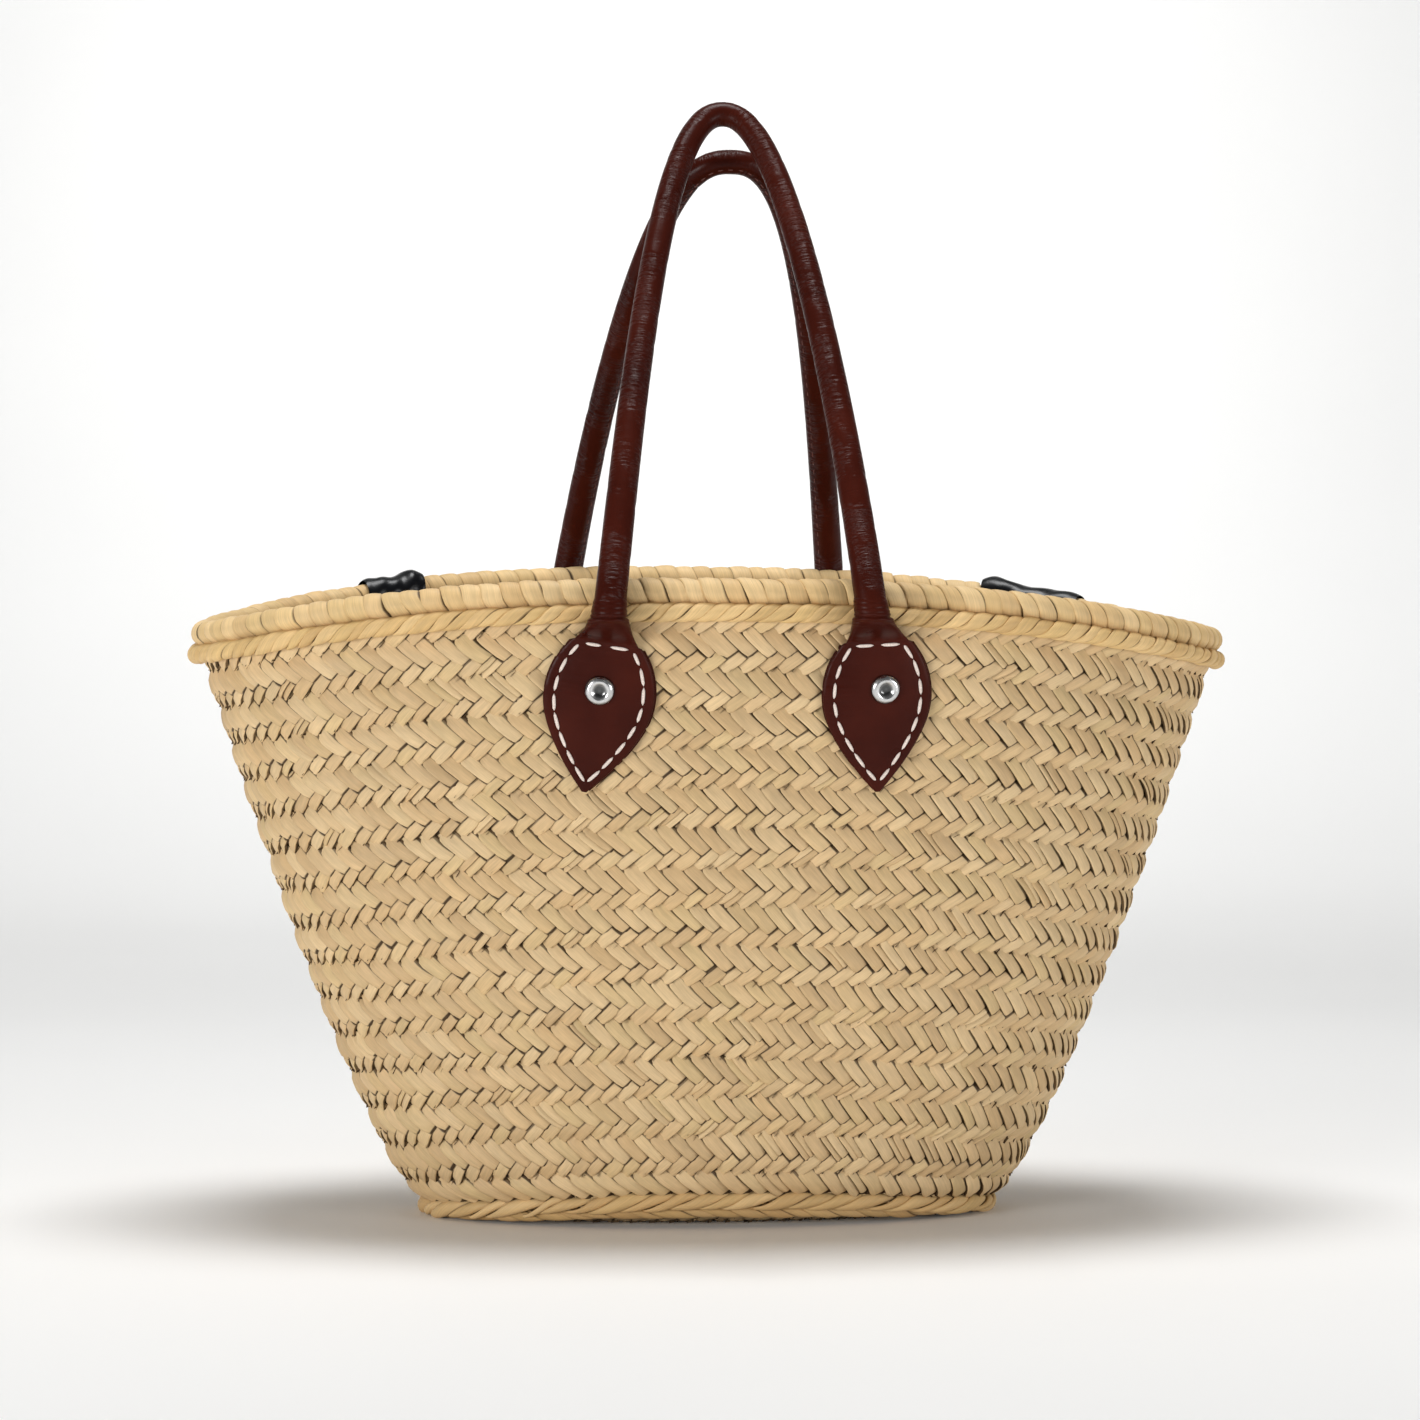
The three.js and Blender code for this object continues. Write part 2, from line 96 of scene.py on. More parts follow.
# ---- shape of the basket ----
def lerp(a, b, t):
    return a + (b - a) * t


def smooth(t):
    t = np.clip(t, 0, 1)
    return t * t * (3 - 2 * t)


def unit(vectors):
    return vectors / np.linalg.norm(vectors, axis=-1, keepdims=True)


def length_along(line):
    return np.concatenate([[0], np.cumsum(np.linalg.norm(np.diff(line, axis=0), axis=1))])


def triples(a, b, c):
    return np.stack(np.broadcast_arrays(a, b, c), -1)


def turns_round(count):
    return np.arange(count) / count * 2 * np.pi


def bell(distance, width):
    return np.exp(-((distance / width) ** 2))


def about(centre, out, radius, theta):
    """Points round a centre; theta is 0 up and a quarter turn outwards."""
    return centre + out * (radius * np.sin(theta))[..., None] + UP * (radius * np.cos(theta))[..., None]


def plan_radius(angle):
    """The oval's radius against that of a circle, by plan angle."""
    total = np.abs(np.cos(angle)) ** PLAN_EXPONENT + np.abs(np.sin(angle)) ** PLAN_EXPONENT
    return total ** (-1 / PLAN_EXPONENT)


def sideways(angle):
    """-1 at the basket's left end and 1 at its right."""
    return plan_radius(angle) * np.cos(angle)


def middleness(angle, exponent=2):
    """1 at the middle of each long side, 0 at the ends."""
    return 1 - np.abs(sideways(angle)) ** exponent


def oval(angle, half_length, half_depth, z):
    r = plan_radius(angle)
    return triples(half_length * r * np.cos(angle), half_depth * r * np.sin(angle), z)


def outward(angle, half_length, half_depth):
    """Level direction square to the oval, pointing out of the basket."""
    half = np.array([half_length, half_depth, 1])
    p = oval(angle, half_length, half_depth, 0.0)
    return unit(np.sign(p) * np.abs(p / half) ** (PLAN_EXPONENT - 1) / half)


def roll_z(angle):
    crest = middleness(angle, RIM_CREST_EXPONENT)
    return lerp(RIM_TOP_SIDE, RIM_TOP_MIDDLE, crest) - RIM_TILT * sideways(angle) - ROLL_R


def wall_bottom(angle):
    return 2 * RING_R + WALL_OVER_RING + BASE_LIFT * middleness(angle)


def wall_top(angle):
    return roll_z(angle) - ROLL_R + WALL_INTO_ROLL


def wall_level(angle, rise):
    """A point of the wall's outer face; rise goes from 0 at its foot to 1 at its top edge."""
    opened = np.maximum(rise, 0) ** FLARE_EXPONENT
    z = lerp(wall_bottom(angle), wall_top(angle), rise)
    return oval(angle, lerp(BASE[0], MOUTH[0], opened), lerp(BASE[1], MOUTH[1], opened), z)


# Even steps round the oval: turn 0 to 1 goes anticlockwise from +X.
_fine = np.linspace(0, 2 * np.pi, 4001)
_ring = oval(_fine, MOUTH[0], MOUTH[1], 0.0)
_length = length_along(_ring)
MOUTH_ROUND = _length[-1]


def angle_at(turn):
    whole = np.floor(turn)
    return np.interp((turn - whole) * MOUTH_ROUND, _length, _fine) + whole * 2 * np.pi


def wall_surface(turn, rise, out):
    """A point out of the wall's outer face, square to it."""
    step, lowest = 1e-3, 0.02
    angle = angle_at(turn)
    around = wall_level(angle + step, rise) - wall_level(angle - step, rise)
    up = np.maximum(rise, lowest)
    upward = wall_level(angle, up + step) - wall_level(angle, up - step)
    return wall_level(angle, rise) + unit(np.cross(around, upward)) * np.asarray(out)[..., None]


def perimeter(rise):
    return MOUTH_ROUND * lerp(BASE[0], MOUTH[0], max(rise, 0) ** FLARE_EXPONENT) / MOUTH[0]


def roll_centre(angle):
    p = wall_level(angle, 1.0) + outward(angle, *MOUTH) * (ROLL_OUT - WALL / 2)
    p[..., 2] = roll_z(angle)
    return p


def rise_at(angle, z):
    return (z - wall_bottom(angle)) / (wall_top(angle) - wall_bottom(angle))


def cord_centre(angle):
    z = roll_z(angle) - CORD_DROP
    p = wall_level(angle, rise_at(angle, z)) + outward(angle, *MOUTH) * CORD_OUT
    p[..., 2] = z + CORD_LIFT
    return p


def ring_centre(angle):
    p = oval(angle, BASE[0], BASE[1], RING_R + BASE_LIFT * middleness(angle))
    return p + outward(angle, *BASE) * (RING_OUT - RING_R)


# ---- meshes ----
def to_linear(rgb):
    c = np.asarray(rgb, float) / 255
    return np.where(c <= 0.04045, c / 12.92, ((c + 0.055) / 1.055) ** 2.4)


def add_object(name, data):
    obj = bpy.data.objects.new(name, data)
    bpy.context.scene.collection.objects.link(obj)
    return obj


def aim(obj, place, target):
    obj.location = place
    obj.rotation_euler = (Vector(target) - Vector(place)).to_track_quat("-Z", "Y").to_euler()


def add_vectors(mesh, name, values):
    attribute = mesh.attributes.new(name, "FLOAT_VECTOR", "POINT")
    attribute.data.foreach_set("vector", np.asarray(values, np.float32).ravel())


def make_mesh(name, vertices, faces, look, tint=None, grain=None):
    """A mesh object; tint is a colour and grain a vector for each vertex, for the material."""
    mesh = bpy.data.meshes.new(name)
    faces = faces.tolist() if isinstance(faces, np.ndarray) else faces
    mesh.from_pydata(np.asarray(vertices).reshape(-1, 3).tolist(), [], faces)
    if tint is not None:
        colour = np.ones((len(mesh.vertices), 4), np.float32)
        colour[:, :3] = np.asarray(tint).reshape(-1, 3)
        attribute = mesh.color_attributes.new("tint", "FLOAT_COLOR", "POINT")
        attribute.data.foreach_set("color", colour.ravel())
    if grain is not None:
        add_vectors(mesh, "grain", grain)
    mesh.materials.append(look)
    mesh.shade_smooth()
    return add_object(name, mesh)


def patch_faces(count, nu, nv, flip=False):
    """Quads of count separate grids, each nu by nv points."""
    u, v = np.meshgrid(np.arange(nu - 1), np.arange(nv - 1), indexing="ij")
    a = (u * nv + v).ravel()
    quad = np.stack([a, a + nv, a + nv + 1, a + 1], -1)
    if flip:
        quad = quad[:, ::-1]
    return (quad[None] + (np.arange(count) * nu * nv)[:, None, None]).reshape(-1, 4)


def tube_faces(rings, sides, closed_along=False, capped=False):
    """Quads between rings of points, each with as many sides; closed_along joins the last to the first."""
    i, j = np.arange(rings if closed_along else rings - 1)[:, None], np.arange(sides)[None]
    here, there, after = i * sides, (i + 1) % rings * sides, (j + 1) % sides
    faces = np.stack([here + j, here + after, there + after, there + j], -1).reshape(-1, 4).tolist()
    if capped:
        faces.append(list(range(sides))[::-1])
        faces.append(list(range((rings - 1) * sides, rings * sides)))
    return faces


def skin(name, rings, look, capped=True, **more):
    """A tube through rings of points."""
    faces = tube_faces(len(rings), len(rings[0]), capped=capped)
    return make_mesh(name, np.array(rings), faces, look, **more)


# ---- materials ----
# Painted shade: a brown, and its strength, where strips are tucked under their neighbours and on their
# thickness.
GAP_SHADE_BROWN = (46, 26, 9)
GAP_SHADE_STRENGTH = 0.92
NOISE_RANGE = (0.3, 0.7)


def paint(rgb):
    return (*to_linear(rgb), 1)


class Nodes:
    """Short ways to build one material's node tree. Inputs are other nodes' outputs, or values."""

    def __init__(self, name):
        self.material = bpy.data.materials.new(name)
        self.material.use_nodes = True
        self.tree = self.material.node_tree

    def feed(self, node, inputs):
        for socket, source in inputs.items():
            if isinstance(source, bpy.types.NodeSocket):
                self.tree.links.new(source, node.inputs[socket])
            elif source is not None:
                node.inputs[socket].default_value = source
        return node.outputs

    def add(self, kind, inputs, **settings):
        node = self.tree.nodes.new(kind)
        for key, value in settings.items():
            setattr(node, key, value)
        return self.feed(node, inputs)

    def place(self):
        return self.add("ShaderNodeTexCoord", {})["Object"]

    def attribute(self, name, output="Vector"):
        return self.add("ShaderNodeAttribute", {}, attribute_name=name)[output]

    def scaled(self, vector, scale):
        return self.add("ShaderNodeMapping", {"Scale": scale, "Vector": vector})["Vector"]

    def noise(self, vector, scale, detail=3.0, roughness=0.55, distortion=0.0):
        inputs = {"Scale": scale, "Detail": detail, "Roughness": roughness, "Distortion": distortion}
        return self.add("ShaderNodeTexNoise", {**inputs, "Vector": vector})["Fac"]

    def ramp(self, value, low, high, low_out, high_out):
        inputs = {"From Min": low, "From Max": high, "To Min": low_out, "To Max": high_out}
        return self.add("ShaderNodeMapRange", {**inputs, "Value": value})["Result"]

    def vary(self, noise, low_out, high_out):
        return self.ramp(noise, *NOISE_RANGE, low_out, high_out)

    def colours(self, noise, dark, light):
        node = self.tree.nodes.new("ShaderNodeValToRGB")
        for element, position, colour in zip(node.color_ramp.elements, NOISE_RANGE, (dark, light)):
            element.position = position
            element.color = paint(colour)
        return self.feed(node, {"Fac": noise})["Color"]

    def multiply(self, colour, value):
        return self.add("ShaderNodeVectorMath", {0: colour, "Scale": value}, operation="SCALE")["Vector"]

    def mix(self, factor, a, b):
        return self.add("ShaderNodeMix", {"Factor": factor, "A": a, "B": b}, data_type="RGBA")["Result"]

    def combine(self, a, b, operation="MULTIPLY"):
        return self.add("ShaderNodeMath", {0: a, 1: b}, operation=operation)["Value"]

    def bump(self, height, strength, distance, below=None):
        inputs = {"Strength": strength, "Distance": distance, "Height": height, "Normal": below}
        return self.add("ShaderNodeBump", inputs)["Normal"]

    def finish(self, colour, roughness, normal=None, gloss=0.5, metallic=0.0):
        inputs = {"Base Color": colour, "Roughness": roughness, "Normal": normal}
        values = {"Specular IOR Level": gloss, "Metallic": metallic}
        self.feed(self.tree.nodes["Principled BSDF"], {**inputs, **values})
        return self.material


def palm_material(name, streaks=1.0, shade_from=0.62, shade_full=0.74, end_from=0.09, end_full=0.0):
    """Dried palm leaf: a tint for each strip, fine fibres along it, and painted brown shade where it is
    tucked under.
    """
    n = Nodes(name)
    grain = n.attribute("grain")
    tint = n.attribute("tint", "Color")
    fibres = n.noise(n.scaled(grain, (60, 2600, 900)), 1.0, 3.0)
    bands = n.noise(n.scaled(grain, (90, 500, 700)), 1.0, 2.0)
    veins = n.vary(fibres, 1 - 0.09 * streaks, 1 + 0.06 * streaks)
    shade = n.combine(veins, n.vary(bands, 0.93, 1.06))
    # The edge attribute carries the painted shade: X is 1 at the tucked side, Y falls to 0 at the ends, Z is
    # the shade's strength.
    split = n.add("ShaderNodeSeparateXYZ", {"Vector": n.attribute("edge")})
    sides = n.combine(n.ramp(split["X"], shade_from, shade_full, 0.0, 1.0), split["Z"])
    ends = n.ramp(split["Y"], end_from, end_full, 0.0, 1.0)
    # Painted shade along the tucked sides and at the tucked ends.
    line = n.combine(sides, ends, "MAXIMUM")
    colour = n.mix(n.combine(line, GAP_SHADE_STRENGTH), n.multiply(tint, shade), paint(GAP_SHADE_BROWN))
    normal = n.bump(fibres, 0.22, 0.0004)
    return n.finish(colour, n.vary(fibres, 0.48, 0.7), normal, gloss=0.3)


def grained_material(name, dark, light, noise, rough, bump=None, stretch=None, **values):
    """Fibre, thread, brushed metal or paint: one noise for colour, roughness and bump."""
    n = Nodes(name)
    place = n.place()
    grain = n.noise(n.scaled(place, stretch) if stretch else place, *noise)
    normal = n.bump(grain, *bump) if bump else None
    return n.finish(n.colours(grain, dark, light), n.vary(grain, *rough), normal, **values)


def leather_material(name, dark, light, roughness, creases=True, gloss=0.05):
    """Leather with a fine pebble, cloudy colour and, on the tubes, creases across their length."""
    n = Nodes(name)
    place = n.place()
    clouds = n.noise(place, 24, 3.0)
    fine = n.noise(place, 900, 3.0)
    colour = n.colours(clouds, dark, light)
    normal = n.bump(fine, 0.16, 0.0003)
    rough = n.vary(clouds, roughness - 0.05, roughness + 0.06)
    if creases:
        grain = n.attribute("grain")
        wrinkles = n.noise(n.scaled(grain, (560, 50, 50)), 1.0, 3.0, 0.6, 0.4)
        patches = n.noise(n.scaled(grain, (45, 60, 60)), 1.0, 2.0)
        depth = n.combine(n.ramp(wrinkles, 0.35, 0.65, 0, 1), n.ramp(patches, 0.46, 0.6, 0.08, 1))
        normal = n.bump(depth, 0.6, 0.0011, normal)
    return n.finish(colour, rough, normal, gloss=gloss)


def steel_material(name):
    """Plated steel, darkened by its tint, which on the rivet caps is painted reflection, shade and
    highlight.
    """
    n = Nodes(name)
    place = n.place()
    marks = n.noise(place, 420, 4.0)
    colour = n.multiply(n.attribute("tint", "Color"), n.vary(marks, 0.78, 1.0))
    normal = n.bump(marks, 0.12, 0.0002)
    return n.finish(colour, n.vary(marks, 0.14, 0.3), normal, metallic=1.0)


PALM = palm_material("plaited_palm")
# The rims' wraps get the same painted shade where each one is tucked under the next.
PALM_RIM = palm_material("wound_palm", 1.3, 0.74, 0.9)
FIBRE = {"noise": (260, 4.0), "rough": (0.75, 0.95), "bump": (0.5, 0.0006), "stretch": (1, 1, 6)}
METAL = {**FIBRE, "rough": (0.28, 0.48), "bump": (0.1, 0.0006), "metallic": 1.0}
TWIST = {"noise": (1500, 2.0), "rough": (0.55, 0.8), "bump": (0.3, 0.0003)}
# A dark palm colour that is painted shade, for the sheets behind the strips.
PAINTED_SHADE_BED = grained_material("plait_shadow", (64, 42, 20), (96, 68, 38), **FIBRE)
CORE = grained_material("core_fibre", (120, 92, 56), (166, 134, 88), **FIBRE)
BROWN = leather_material("brown_leather", (52, 15, 8), (69, 23, 13), 0.3, True, 0.09)
BROWN_FLAT = leather_material("brown_leather_flat", (52, 19, 11), (66, 26, 17), 0.42, False)
BLACK = leather_material("black_leather", (5, 6, 8), (13, 15, 19), 0.28, False, 0.28)
STEEL = steel_material("rivet_steel")
STEEL_PLAIN = grained_material("rivet_back_steel", (120, 122, 125), (168, 170, 173), **METAL)
THREAD = grained_material("stitch_thread", (214, 196, 184), (246, 233, 224), **TWIST)
SEAM_THREAD = grained_material("seam_thread", (84, 44, 38), (124, 76, 68), **TWIST)

WALL_TINTS = to_linear(
    [[214, 183, 138], [221, 192, 147], [209, 177, 131], [212, 184, 136], [204, 173, 129], [218, 190, 146]]
)
RIM_TINTS = to_linear([[222, 190, 138], [230, 199, 148], [214, 180, 128], [219, 188, 134]])


TINT_BLEND = 0.6  # how far at most a strip's tint goes towards a second one
TINT_SPREAD = 0.03
GRAIN_APART = 40  # strips take their grain from places up to this far apart


def pick_tints(palette, shape):
    """A tint for each strip, given to all its points."""
    count = shape[0]
    chosen = palette[rng.integers(0, len(palette), count)]
    other = palette[rng.integers(0, len(palette), count)]
    mixed = lerp(chosen, other, rng.random((count, 1)) * TINT_BLEND)
    return (mixed * (1 + rng.normal(0, TINT_SPREAD, (count, 1))))[:, None, None, :] * np.ones((*shape, 1))


def uneven_sides(count, spread):
    """Where each of count strips starts, in pitches, and where the last one meets the first."""
    side = np.arange(count) + rng.normal(0, spread, count)
    return np.append(side, side[0] + count)


# ---- the plaited wall ----
COURSES = 15.25  # courses of the plait from the wall's foot to its top edge
FIRST_COURSE = 0.43  # the lowest course starts part-way up
CELLS = 5  # rows of crossings in a course
BOTH_KINDS = ("down", "up")
OVER = {"down": 3, "up": 2}  # crossings that a strip passes over, in its upper and lower row
HIGH_SIDE = {"down": -1, "up": 1}  # the side of a strip that lies over its neighbour
TILT_MM = 0.8  # how far it is raised and the other side lowered
# A strip's pitch in millimetres, in the lowest course, and from the next one to the top.
PITCH_LOWEST, PITCH_BOTTOM, PITCH_TOP = 9.4, 8.1, 9.5
SHEAR = 0.42  # makes the upper row of a course steeper
SHEAR_FROM = 0.4  # above this share of a course's height
FOOT_TUCK = 2.9 * MM  # how far the lowest strips' ends are drawn in
BULGE = 2.1 * MM  # how far a course stands out between its seams
TUCK = 0.34  # how far a strip's end runs on under the strip that crosses it, in crossings
SEAM_TUCK = 0.62  # the same where two courses meet
OVERLAP = 0.12  # how far its low side runs on under its neighbour, in pitches
SEAM_SHADE = 0.4  # an end's painted shade starts this much later where two courses meet
SPLIT_SHARE = 0.07  # strips laid as two narrow ones
SPLIT_AT = (0.38, 0.62)
# Spreads of the differences between strips.
SIDE_SPREAD, END_SPREAD, BEND_SPREAD, LIFT_SPREAD, TILT_SPREAD = 0.075, 0.035, 0.035, 0.09, 0.25
END_REACH = 0.45  # crossings over which a strip narrows and rounds off towards its end
NARROWED = 0.2
INTERLOCK = -0.294  # shift, in pitches, at which one course's strips meet the next one's
CROSSING, STRIP_HALF = 6.4 * MM, 3 * MM  # a crossing's length and half a strip's width, for the grain


def course_bulge(level):
    """How far a course's face stands out, by how far up it a point is."""
    share = level - np.floor(level)
    return BULGE * (1 - np.abs(2 * share - 1) ** 2.4)


def strip_sides(count):
    """Left and right sides of a course's strips, in pitches, and the crossing that each belongs to."""
    side = uneven_sides(count, SIDE_SPREAD)
    found = []
    for k in range(count):
        cuts = [side[k], side[k + 1]]
        if rng.random() < SPLIT_SHARE:
            cuts.insert(1, lerp(*cuts, rng.uniform(*SPLIT_AT)))
        found += [(*pair, k) for pair in zip(cuts, cuts[1:])]
    return np.array(found)


def strips(count, kind, nu, across):
    """Lattice places and heights of a course's strips: arrays of strips x nu x len(across). p runs along a
    strip, in crossings, and q across it from -1 to 1, and past that down its thickness."""
    over, high = OVER[kind], HIGH_SIDE[kind]
    first, last = (SEAM_TUCK, TUCK) if kind == "down" else (TUCK, SEAM_TUCK)
    middle = np.linspace(0.14, over - 0.14, nu - 4)
    along = np.concatenate([[-first, -0.1], middle, [over + 0.1, over + last]])
    sides = strip_sides(count)
    many = len(sides)

    def each(spread):
        return rng.normal(0, spread, (many, 1, 1))

    left, right, k = (sides[:, a][:, None, None] for a in range(3))
    p = along[None, :, None] + 0 * k
    end = np.minimum(p, over - p) + each(END_SPREAD)
    q = np.asarray(across)[None, None, :]
    edge = np.clip(q, -1, 1)
    low_side = -edge * high  # -1 at the raised side, 1 at the tucked one
    bend = each(BEND_SPREAD) * (1 - (2 * p / over - 1) ** 2)
    if high < 0:
        right = right + OVERLAP
    else:
        left = left - OVERLAP
    near_end = np.clip(1 - (end + 0.1) / END_REACH, 0, 1)
    waist = 1 - NARROWED * near_end**2
    side = (left + right) / 2 + bend + (right - left) / 2 * waist * edge
    if kind == "down":
        i, j = side, k - 2 + p
    else:
        i, j = k - 2 + (over - p), side
    # Heights over the course's face, in millimetres.
    lift = 0.85 * smooth((end + 0.3) / 0.7) - 0.45 + each(LIFT_SPREAD)
    tilt = -TILT_MM * low_side * (1 + each(TILT_SPREAD))
    pillow = -0.3 * np.abs(edge) ** 3 - 0.22 * smooth((-low_side - 0.8) / 0.2)
    corner = -0.75 * np.abs(edge) ** 3 * near_end
    skirt = np.where(np.abs(q) > 1.01, -1.3, np.where(np.abs(q) > 1, -0.1, 0))
    deep = -0.9 * np.clip(-(end - 0.02) / TUCK, 0, 1)
    height = (lift + tilt + pillow + corner + skirt + deep) * MM
    x, h = (i + j) / 2, ((i - j) + CELLS / 2) / CELLS
    x = x + SHEAR * (np.maximum(h, SHEAR_FROM) - SHEAR_FROM)
    hidden = np.where(-q * high < -1, 1.0, low_side)  # painted shade on the tucked side and also on the raised side's own thickness
    strength = 0.7 + 0.3 * rng.random((many, 1, 1))
    at_seam = (p < 1) if kind == "down" else (p > over - 1)
    shade = triples(hidden, end + SEAM_SHADE * at_seam, strength)
    return x, h, height, p + 0 * q, edge + 0 * p, np.broadcast_to(shade, (*x.shape, 3))


def plait(name, level_to_points, levels, nu, across, palette, out_sign, look):
    """Strips of several courses as one mesh. level_to_points gives points for turn, level and height, and nu
    is how many points each kind of strip has along it."""
    parts, start = [], 0
    for level, count, turned, kinds in levels:
        for kind in kinds:
            x, h, height, p, q, edge = strips(count, kind, nu[kind], across)
            many = len(x)
            points = level_to_points(x / count + turned, level + h, height)
            tint = pick_tints(palette, x.shape)
            ident = rng.random((many, 1, 1)) * GRAIN_APART
            grain = triples(p * CROSSING + ident, q * STRIP_HALF, ident)
            flip = (kind == "down") == (out_sign > 0)
            faces = patch_faces(many, x.shape[1], x.shape[2], flip) + start
            parts.append([a.reshape(-1, 3) for a in (points, tint, grain, edge)] + [faces])
            start += x.size
    points, tints, grains, edges, faces = (np.concatenate(some) for some in zip(*parts))
    obj = make_mesh(name, points, faces, look, tints, grains)
    add_vectors(obj.data, "edge", edges)
    return obj


def level_rise(level):
    return (level - FIRST_COURSE) / COURSES


WAVER = 0.035  # how far the courses rise and fall, in courses
WAVES = ((5, 0.13, 0, 1), (11, -0.31, 0.4, 0.8))  # waves round, turn on for each course, first turn, share
WAVER_FADE = 3  # courses over which they become level, at the foot and at the top


def waver(turn, level):
    """The courses aren't quite level."""
    wave = sum(share * np.sin(2 * np.pi * (n * turn + on * level + first)) for n, on, first, share in WAVES)
    return WAVER * wave * smooth(level / WAVER_FADE) * smooth((COURSES - level) / WAVER_FADE)


def outer_points(turn, level, height):
    """Places on the outside; the lowest strips draw in under the foot ring."""
    drawn_in = FOOT_TUCK * (1 - smooth((level - 0.25) / 0.6))
    rise = level_rise(level + waver(turn, level))
    return wall_surface(turn, rise, course_bulge(level) - drawn_in + height)


INSIDE_OUT = 0.6 * MM  # how far the inner strips lie out from the wall's inner face
INSIDE_BULGE = 0.6  # their courses' bulge against the outside's


def inner_points(turn, level, height):
    out = -WALL + INSIDE_OUT - INSIDE_BULGE * course_bulge(level) - height
    return wall_surface(turn, level_rise(level), out)


LAST_COURSE = 15
BAND = 3  # courses with as many strips as each other, so that their strips meet


def wall_levels():
    """For each course its number, its count of strips, how far they are turned, and its rows."""
    found, turned = [], 0.0
    for course in range(LAST_COURSE + 1):
        if course <= 1 or (course - 1) % BAND == 0:
            rise = level_rise(course + (0.5 if course == 0 else BAND / 2))
            pitch = lerp(PITCH_BOTTOM, PITCH_TOP, np.clip(rise, 0, 1)) if course else PITCH_LOWEST
            count = int(round(perimeter(rise) / (pitch * MM)))
        kinds = {0: ["down"], LAST_COURSE: ["up"]}.get(course, BOTH_KINDS)
        found.append((course, count, turned, kinds))
        turned += INTERLOCK / count
    return found


# Points across a strip and along each kind of it. Those past 1 go down its thickness.
OUTER_ACROSS = [-1.02, -1.004, -1, -0.82, -0.45, 0, 0.45, 0.82, 1, 1.004, 1.02]
OUTER_ALONG = {"down": 10, "up": 8}
INNER_ACROSS = [-1.02, -0.9, 0, 0.9, 1.02]
INNER_ALONG = {"down": 7, "up": 6}
levels = wall_levels()
pieces, outsides = [], []
for number, (low, high) in enumerate(((0, 6), (6, 11), (11, 16))):
    some = [entry for entry in levels if low <= entry[0] < high]
    name = f"plait_outside_{number + 1}"
    outsides.append(plait(name, outer_points, some, OUTER_ALONG, OUTER_ACROSS, WALL_TINTS, 1, PALM))
pieces += outsides
# The inside's strips have the wall's tints darkened, as painted shade.
inner = plait("plait_inside", inner_points, levels, INNER_ALONG, INNER_ACROSS, WALL_TINTS * 0.92, -1, PALM)
pieces.append(inner)


def wall_bed():
    """The plait's thickness behind its strips, a dark sheet of painted shade seen only in the gaps."""
    around, rows = 200, 26
    turn, rise = np.meshgrid(np.arange(around) / around, np.linspace(0.0, 1.0, rows), indexing="ij")
    depths = (1.45 * MM, 1.75 * MM)
    outside, inside = (wall_surface(turn, rise, np.full(turn.shape, -deep)) for deep in depths)
    section = np.concatenate([outside, inside[:, ::-1]], 1)
    return make_mesh("plait_bed", section, tube_faces(around, 2 * rows, closed_along=True), PAINTED_SHADE_BED)


bed = wall_bed()
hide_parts("plaited_wall")
pieces.append(bed)


# ---- wound rims and the foot ring ----
INNER_RING_IN = 3.6 * MM
INNER_RING_DOWN = 1 * MM
INNER_RING_ARCH = 4.4 * MM  # how much less than the first ring the second one is arched
WOUND_ACROSS = np.array([-1.02, -1, -0.8, -0.35, 0.2, 0.7, 1])
WOUND_OVERLAP = 0.07  # how far a strip's right side runs on under the next, in pitches
WOUND_THICK = 1 * MM
PINCH = 0.5 * MM


def inner_ring_centre(angle):
    """A second turn of the foot ring, inside and below the first."""
    p = ring_centre(angle) - outward(angle, *BASE) * INNER_RING_IN
    p[..., 2] = RING_R - INNER_RING_DOWN + (BASE_LIFT - INNER_RING_ARCH) * middleness(angle)
    return p


def wound(
    name, centre, radius, pitch, slant, start, end, palette,
    steps, bump, tilt, uneven=0.05, sag=0.16 * MM, junction=None,
):
    """Strips wound round a core, from start to end degrees about it, 0 up and 90 outwards. Each moves along
    by slant over a quarter turn, lies over the one before by tilt, and stands up in its middle by bump.
    uneven and sag are the spreads of place and radius. They pinch together at junction degrees."""
    angles = np.linspace(0, 2 * np.pi, 721)
    length = length_along(centre(angles))
    count = int(round(length[-1] / pitch))

    def each(spread):
        return rng.normal(0, spread, (count, 1, 1))

    side = uneven_sides(count, uneven)
    left, right = side[:-1, None, None], side[1:, None, None] + WOUND_OVERLAP
    theta = np.radians(np.linspace(start, end, steps))[None, :, None]
    q = WOUND_ACROSS[None, None, :]
    edge = np.clip(q, -1, 1)
    wander = each(0.05) * np.sin(theta) + each(0.03) * np.sin(2 * theta)
    s = (lerp(left, right, (edge + 1) / 2) + wander) * (length[-1] / count)
    s = s + slant * (theta - np.pi / 2) / (np.pi / 2)
    angle = np.interp(s % length[-1], length, angles)
    pillow = bump * (1 - np.abs(edge) ** 3) - tilt * edge * (1 + each(0.3))
    skirt = np.where(np.abs(q) > 1, -WOUND_THICK, 0)
    r = radius + pillow + skirt + (each(sag) + each(0.6 * sag) * np.cos(2 * theta))
    if junction is not None:
        r = r - PINCH * bell(theta - math.radians(junction), 0.3) * (0.4 + edge**2)
    points = about(centre(angle), outward(angle, *MOUTH), r, theta)
    tint = pick_tints(palette, s.shape)
    ident = rng.random((count, 1, 1)) * GRAIN_APART
    grain = triples(radius * theta + ident, q * pitch / 2, ident)
    obj = make_mesh(name, points, patch_faces(count, steps, len(WOUND_ACROSS)), PALM_RIM, tint, grain)
    # Painted shade on each strip's tucked side and on its raised side's thickness.
    hidden = np.where(q < -1, 1.0, edge)
    strength = 0.6 + 0.4 * rng.random((count, 1, 1))
    add_vectors(obj.data, "edge", triples(hidden + 0 * s, 1, strength))
    return obj


